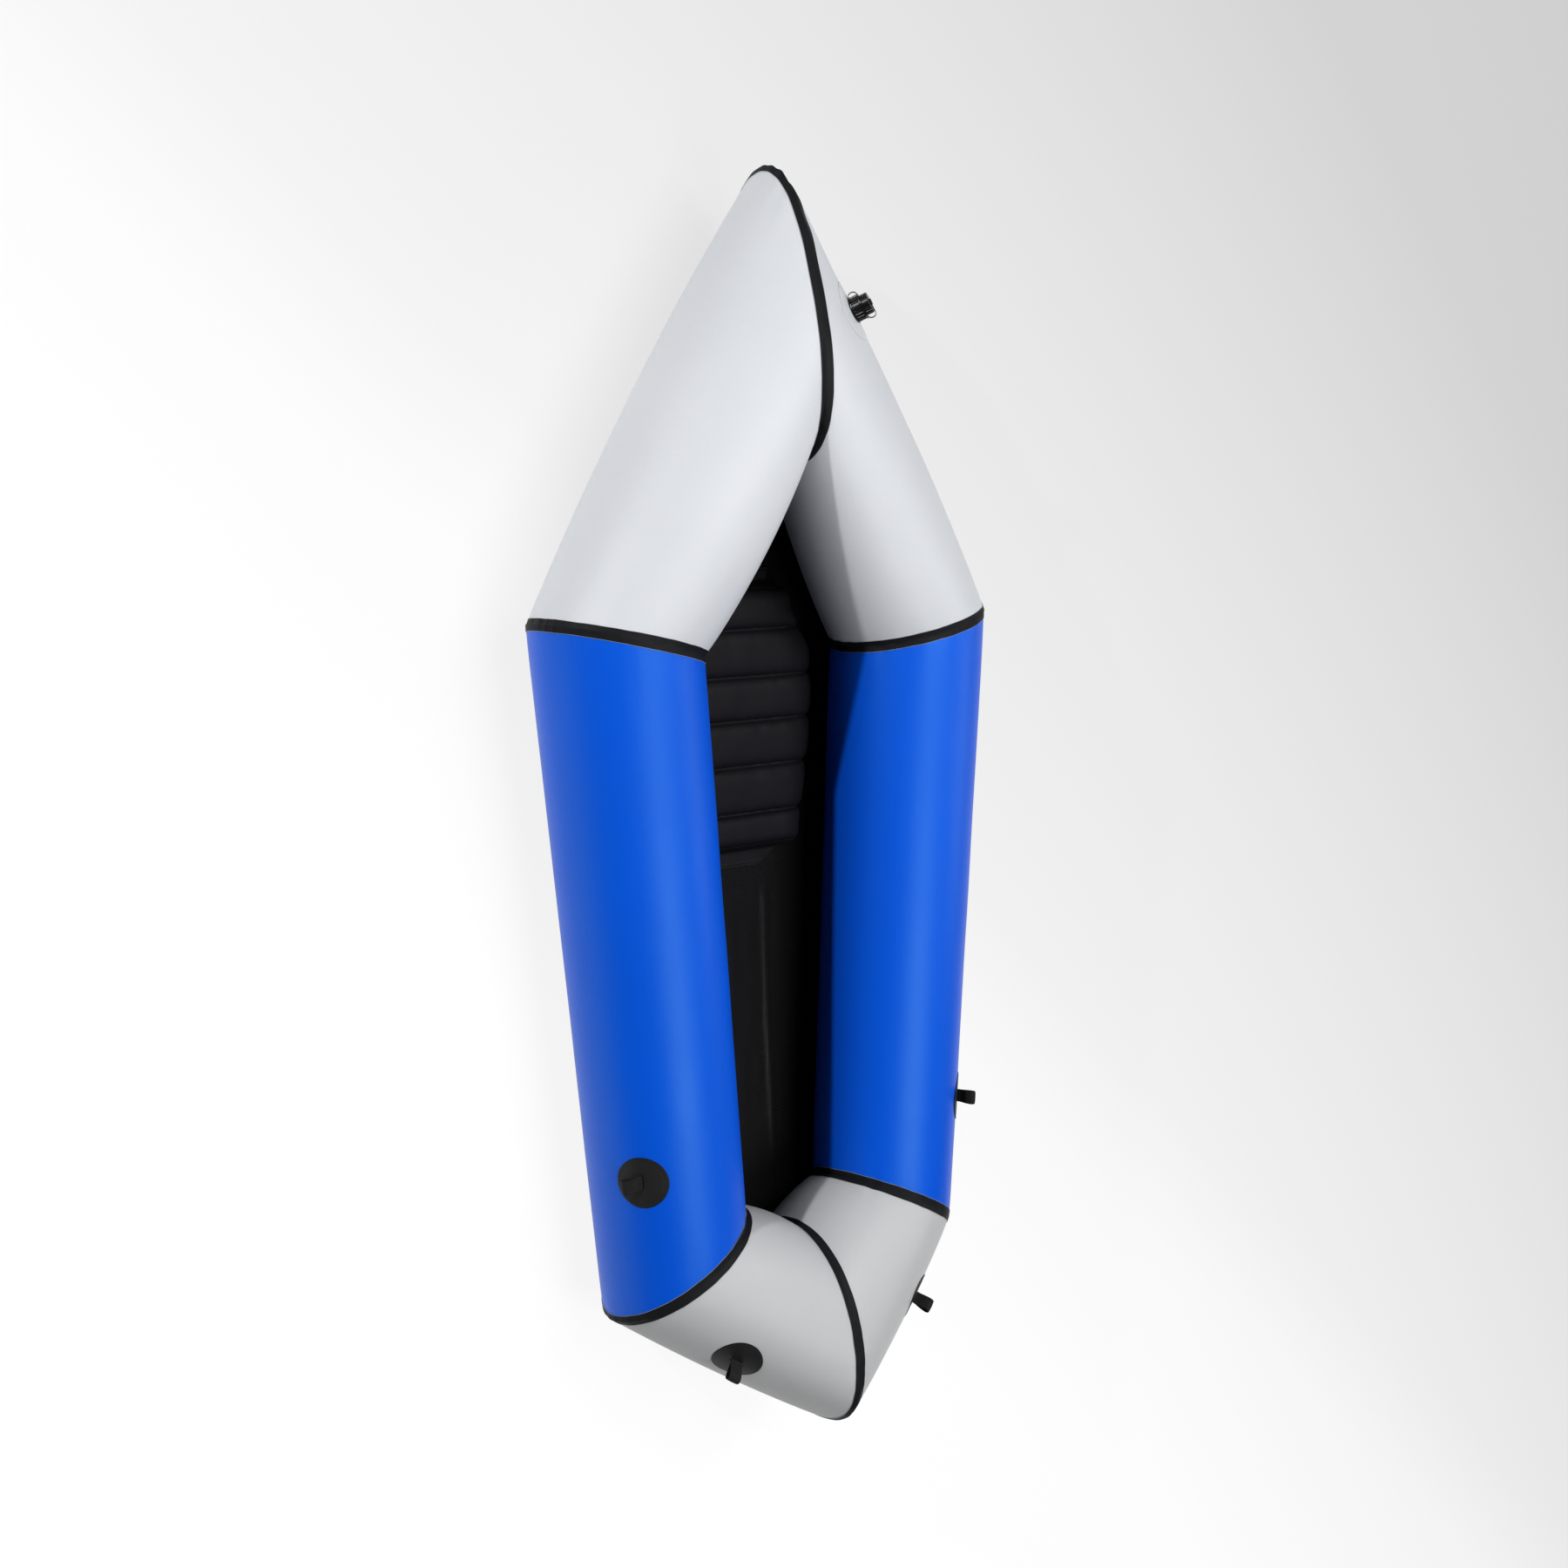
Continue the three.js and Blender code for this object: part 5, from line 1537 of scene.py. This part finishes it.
@dataclass
class ScrewValve:
    """The two-stage screw valve on the port stern tube, turned about its own axis, and its patch."""

    spot: TubeSpot
    wardrobe: Wardrobe
    patch_bore: float = 0.02133
    patch_radius: float = 0.057
    patch_thickness: float = 0.0010
    patch_lift: float = 0.0003
    outer_line: tuple[float, float] = (0.93, 0.0009)
    inner_line: tuple[float, float] = (0.009, 0.0011)
    line_dip: float = 0.00025
    rim_dip: float = 0.0004
    bar_reach: tuple[float, float] = (0.0022, 0.0113)
    cuts: Cuts = Cuts()
    body_rows: tuple[tuple[float, ...], ...] = (
        (11, -6), (16.8, -6), (16.8, -5, 0, 1), (16.8, 6.4, 0, 1), (16.8, 7.3), (20.73, 7.3), (20.73, 4.4),
        (22.3, 4.4), (23.03, 5.1, 1), (23.03, 18.3, 1), (22.3, 19.1, 0.6), (18.2, 19.1), (17.6, 18.8),
        (16.4, 18.8), (15.8, 19.1), (14.6, 19.1), (14.6, 20.2), (14.6, 21.2, 0, 1), (14.6, 27.6, 0, 1),
        (14.2, 28.4), (11, 28.4))
    cap_rows: tuple[tuple[float, ...], ...] = (
        (0, 38.3), (5.4, 38.3), (6, 37.9), (6, 37), (4, 37), (4, 35.4), (12, 35.4), (12.5, 35.1), (14, 35.1),
        (14.5, 35.4), (17.6, 35.4, 0.4), (19, 34.2, 1), (19, 22.8, 1), (18.4, 22, 0.7), (14.9, 22),
        (14.9, 23, 0, -0.7), (14.9, 29.6, 0, -0.7), (14.9, 30.4), (10.7, 30.4), (10.7, 25.8), (0, 25.8))
    hub_rows: tuple[tuple[float, ...], ...] = ((1.6, -6), (2.8, -6), (2.8, -4.5), (1.6, -4.5))
    bar_rows: tuple[tuple[float, ...], ...] = ((-1.2, -6), (1.2, -6), (1.2, -4.5), (-1.2, -4.5))

    def build(self) -> None:
        """Builds the patch, the screw body and the cap."""
        self.wardrobe.seat(self.patch(), GREY, "grey_fabric", "valve_patch")
        self.wardrobe.seat(self.body(self.spot.place), PLASTIC, "black_plastic", "valve_body", "screw_valve")
        self.wardrobe.seat(self.cap(self.spot.place), PLASTIC, "black_plastic", "valve_cap", "screw_cap")

    def patch(self) -> Piece:
        """Builds the round reinforcement: a thin ring with two pressed lines and a soft rim."""
        turn = full_turn(144)[:, None]
        inner, outer = [0, 0.01, 0.03], [0.96, 0.975, 0.99, 1.0]
        share = np.concatenate([inner, np.linspace(0.06, 0.94, 30), outer])[None, :]
        radius = self.patch_bore + (self.patch_radius - self.patch_bore) * share
        (far, far_width), (near, near_width) = self.outer_line, self.inner_line
        lines = bell(radius, self.patch_radius * far, far_width)
        lines = lines + bell(radius, self.patch_bore + near, near_width)
        height = self.patch_thickness - self.line_dip * lines - self.rim_dip * smooth(share, 0.96, 1.0)
        flat = (radius * np.cos(turn), radius * np.sin(turn))
        return self.spot.sheet("valve_reinforcement", Side.PORT, flat, height, self.patch_lift)

    def body(self, place: Place) -> Piece:
        """Turns the screw body: stub, fluted skirt and threaded neck, with a spider in its bore."""
        profile = refined(eased(profile_rows(self.body_rows), 0.0003, 3), 0.0005)
        core = turned("valve_core", place, profile, self.cuts, 240)
        hub = turned("valve_hub", place, eased(profile_rows(self.hub_rows), 0.0002), self.cuts, 40)
        bars = [self.bar(place, k * FULL_TURN / 3) for k in range(3)]
        return MeshKit.joined("valve_screw_body", [core, hub, *bars])

    def bar(self, place: Place, turn: float) -> Piece:
        """Builds one bar of the spider, from the hub to the bore, with rounded edges."""
        side, up = eased(profile_rows(self.bar_rows), 0.0003).T[:2, None]
        reach = np.linspace(*self.bar_reach, 6)[:, None]
        x = reach * math.cos(turn) - side * math.sin(turn)
        y = reach * math.sin(turn) + side * math.cos(turn)
        return MeshKit.skin("valve_bar", place.put(x, y, up + 0 * x), sharp_degrees=50)

    def cap(self, place: Place) -> Piece:
        """Turns the cap: fluted grip, grooved top, leash button and the plug inside."""
        profile = refined(eased(profile_rows(self.cap_rows), 0.0003, 3, ring=False), 0.0005, ring=False)
        return turned("valve_top_cap", place, profile, self.cuts, 240, ring=False)


# Stage


@dataclass(frozen=True)
class Lamp:
    """A soft box that faces the boat."""

    name: str
    place: tuple[float, float, float]
    aim: tuple[float, float, float]
    size: float
    power: float


@dataclass
class Studio:
    """The camera, the lamps and the pale floor."""

    camera_place: tuple[float, float, float] = (-2.0513, 0.48046, 2.8031)
    camera_turn: tuple[float, float, float] = (-0.1149, -0.6647, -0.0666)
    lens: float = 41.46
    sky: float = 0.02
    sky_seen: float = 0.9
    lamps: tuple[Lamp, ...] = (
        Lamp("overhead_aft", (0.2, 1.7, 4.3), (0.0, 0.1, 0.1), 2.4, 78),
        Lamp("overhead_fore", (0.3, -1.6, 4.4), (0.0, -0.1, 0.1), 2.4, 76),
        Lamp("overhead_port", (1.7, 1.6, 4.0), (0.0, 0.1, 0.1), 1.6, 58),
        Lamp("port", (4.20, -0.40, 2.50), (0.0, -0.1, 0.1), 1.4, 24),
        Lamp("starboard", (-4.35, 3.00, 1.80), (0.0, 0.0, 0.15), 0.18, 134),
    )
    ground_half: float = 40.0
    ground_height: float = -0.0005
    ground_slope: tuple[float, float, float] = (-185.2, 474.3, 505.5)
    ground_tones: tuple[tuple[float, float], ...] = (
        (-850, 1.03), (-600, 1.02), (-200, 0.96), (0, 0.885), (600, 0.80), (800, 0.77), (1600, 0.66))
    backdrop_share: float = 0.86

    def build(self) -> None:
        """Sets up the camera, the light and the floor."""
        self.camera()
        for lamp in self.lamps:
            self.light(lamp)
        self.world()
        self.floor()
        bpy.context.scene.view_settings.view_transform = "Standard"

    def stand(self, name: str, data: bpy.types.ID, place: Sequence[float], turn: Matrix) -> Piece:
        """Puts a camera or a lamp in the scene."""
        holder = bpy.data.objects.new(name, data)
        holder.matrix_world = Matrix.Translation(place) @ turn
        bpy.context.scene.collection.objects.link(holder)
        return holder

    def camera(self) -> None:
        """Places the camera: its rotation is a turn about one axis, by that vector's length."""
        turn = Vector(self.camera_turn)
        data = bpy.data.cameras.new("camera")
        data.lens = self.lens
        data.sensor_width = 36
        data.sensor_fit = "HORIZONTAL"
        data.clip_end = 60
        matrix = Matrix.Rotation(turn.length, 4, turn.normalized())
        bpy.context.scene.camera = self.stand("camera", data, self.camera_place, matrix)

    def light(self, lamp: Lamp) -> None:
        """Adds one lamp."""
        data = bpy.data.lights.new(lamp.name, "AREA")
        data.shape = "DISK"
        data.size = lamp.size
        data.energy = lamp.power
        aim = Vector(lamp.aim) - Vector(lamp.place)
        self.stand(lamp.name, data, lamp.place, aim.to_track_quat("-Z", "Y").to_matrix().to_4x4())

    def world(self) -> None:
        """Lights the scene faintly and evenly from a sky that looks pale to the camera."""
        world = bpy.data.worlds.new("studio")
        world.use_nodes = True
        graph = Graph(world.node_tree)
        strength = graph.spread(graph.ray("Camera"), 0.0, 1.0, self.sky, self.sky_seen)
        graph.fill(graph.kept("BACKGROUND"), Color=(1.0, 1.0, 1.0), Strength=strength)
        bpy.context.scene.world = world

    def floor(self) -> None:
        """Lays a wide pale floor, whose tone falls from one corner to the other.

        Seen directly or in a reflection, most of its light is its own tone, so it stays pale. The rest
        is the light that falls on it, so it keeps the boat's shadow.
        """
        half, height = self.ground_half, self.ground_height
        signs = ((-1, -1), (1, -1), (1, 1), (-1, 1))
        corners = np.array([(a * half, b * half, height) for a, b in signs])
        floor = MeshKit.quads("studio_floor", corners, np.array([[0, 1, 2, 3]]), np.zeros((1, 4, 2)), 30)
        paint = Paint("pale_floor")
        base, by_x, by_y = self.ground_slope
        x, y, _ = paint.split(paint.place())
        slope = paint.math("ADD", paint.math("MULTIPLY", x, by_x), paint.math("MULTIPLY", y, by_y))
        (low, first), *between, (high, last) = self.ground_tones
        ramp = paint.add("ShaderNodeValToRGB")
        paint.put(ramp.inputs[0], paint.spread(paint.math("ADD", slope, base), low, high, 0.0, 1.0))
        stops = ramp.color_ramp.elements
        for stop, tone in zip(list(stops), (first, last)):
            stop.color = (tone, tone, tone, 1)
        for at, tone in between:
            stops.new((at - low) / (high - low)).color = (tone, tone, tone, 1)
        paint.fill(paint.shader, Base_Color=ramp.outputs[0], Roughness=0.9, Specular_IOR_Level=0.0)
        glow = paint.fill(paint.add("ShaderNodeEmission"), Color=ramp.outputs[0])
        mix = paint.add("ShaderNodeMixShader")
        seen = paint.math("MULTIPLY", paint.ray("Camera", "Glossy", "Transmission"), self.backdrop_share)
        for socket, value in zip(mix.inputs, (seen, paint.shader.outputs[0], glow.outputs[0])):
            paint.put(socket, value)
        paint.put(paint.kept("OUTPUT_MATERIAL").inputs["Surface"], mix.outputs[0])
        floor.data.materials.append(paint.material)


def dress_solids(wardrobe: Wardrobe) -> None:
    """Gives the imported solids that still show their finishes."""
    looks = {"black_plastic": PLASTIC, "grey_rubber": RUBBER, "webbing": WEBBING, "grey_fabric": GREY,
             "blue_fabric": BLUE, "black_tape": TAPE, "black_fabric": SEAT}
    slots = {part["node"]: part["material_slot"] for part in FRAME["record"]["subparts"]}
    for name, solid in FRAME["nodes"].items():
        material = wardrobe.material(looks[slots[name]])
        for holder in solid.material_slots:
            holder.material = material


def main() -> None:
    """Builds the boat's pieces in order, then the studio."""
    logging.basicConfig(level=logging.INFO, format="%(name)s: %(message)s")
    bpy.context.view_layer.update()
    wardrobe = Wardrobe()
    Studio().build()
    hull = Hull()
    valve = TubeSpot(hull.stern, 0.24, math.radians(41))
    dress_solids(wardrobe)
    for assembly in (TubeSet(hull, wardrobe, valve), TapeSet(hull, wardrobe), Floor(hull, wardrobe),
                     SeatPad(hull, wardrobe), TieDowns(hull, wardrobe), ScrewValve(valve, wardrobe)):
        assembly.build()
        LOG.info("built %s", type(assembly).__name__)


if __name__ == "__main__":
    main()
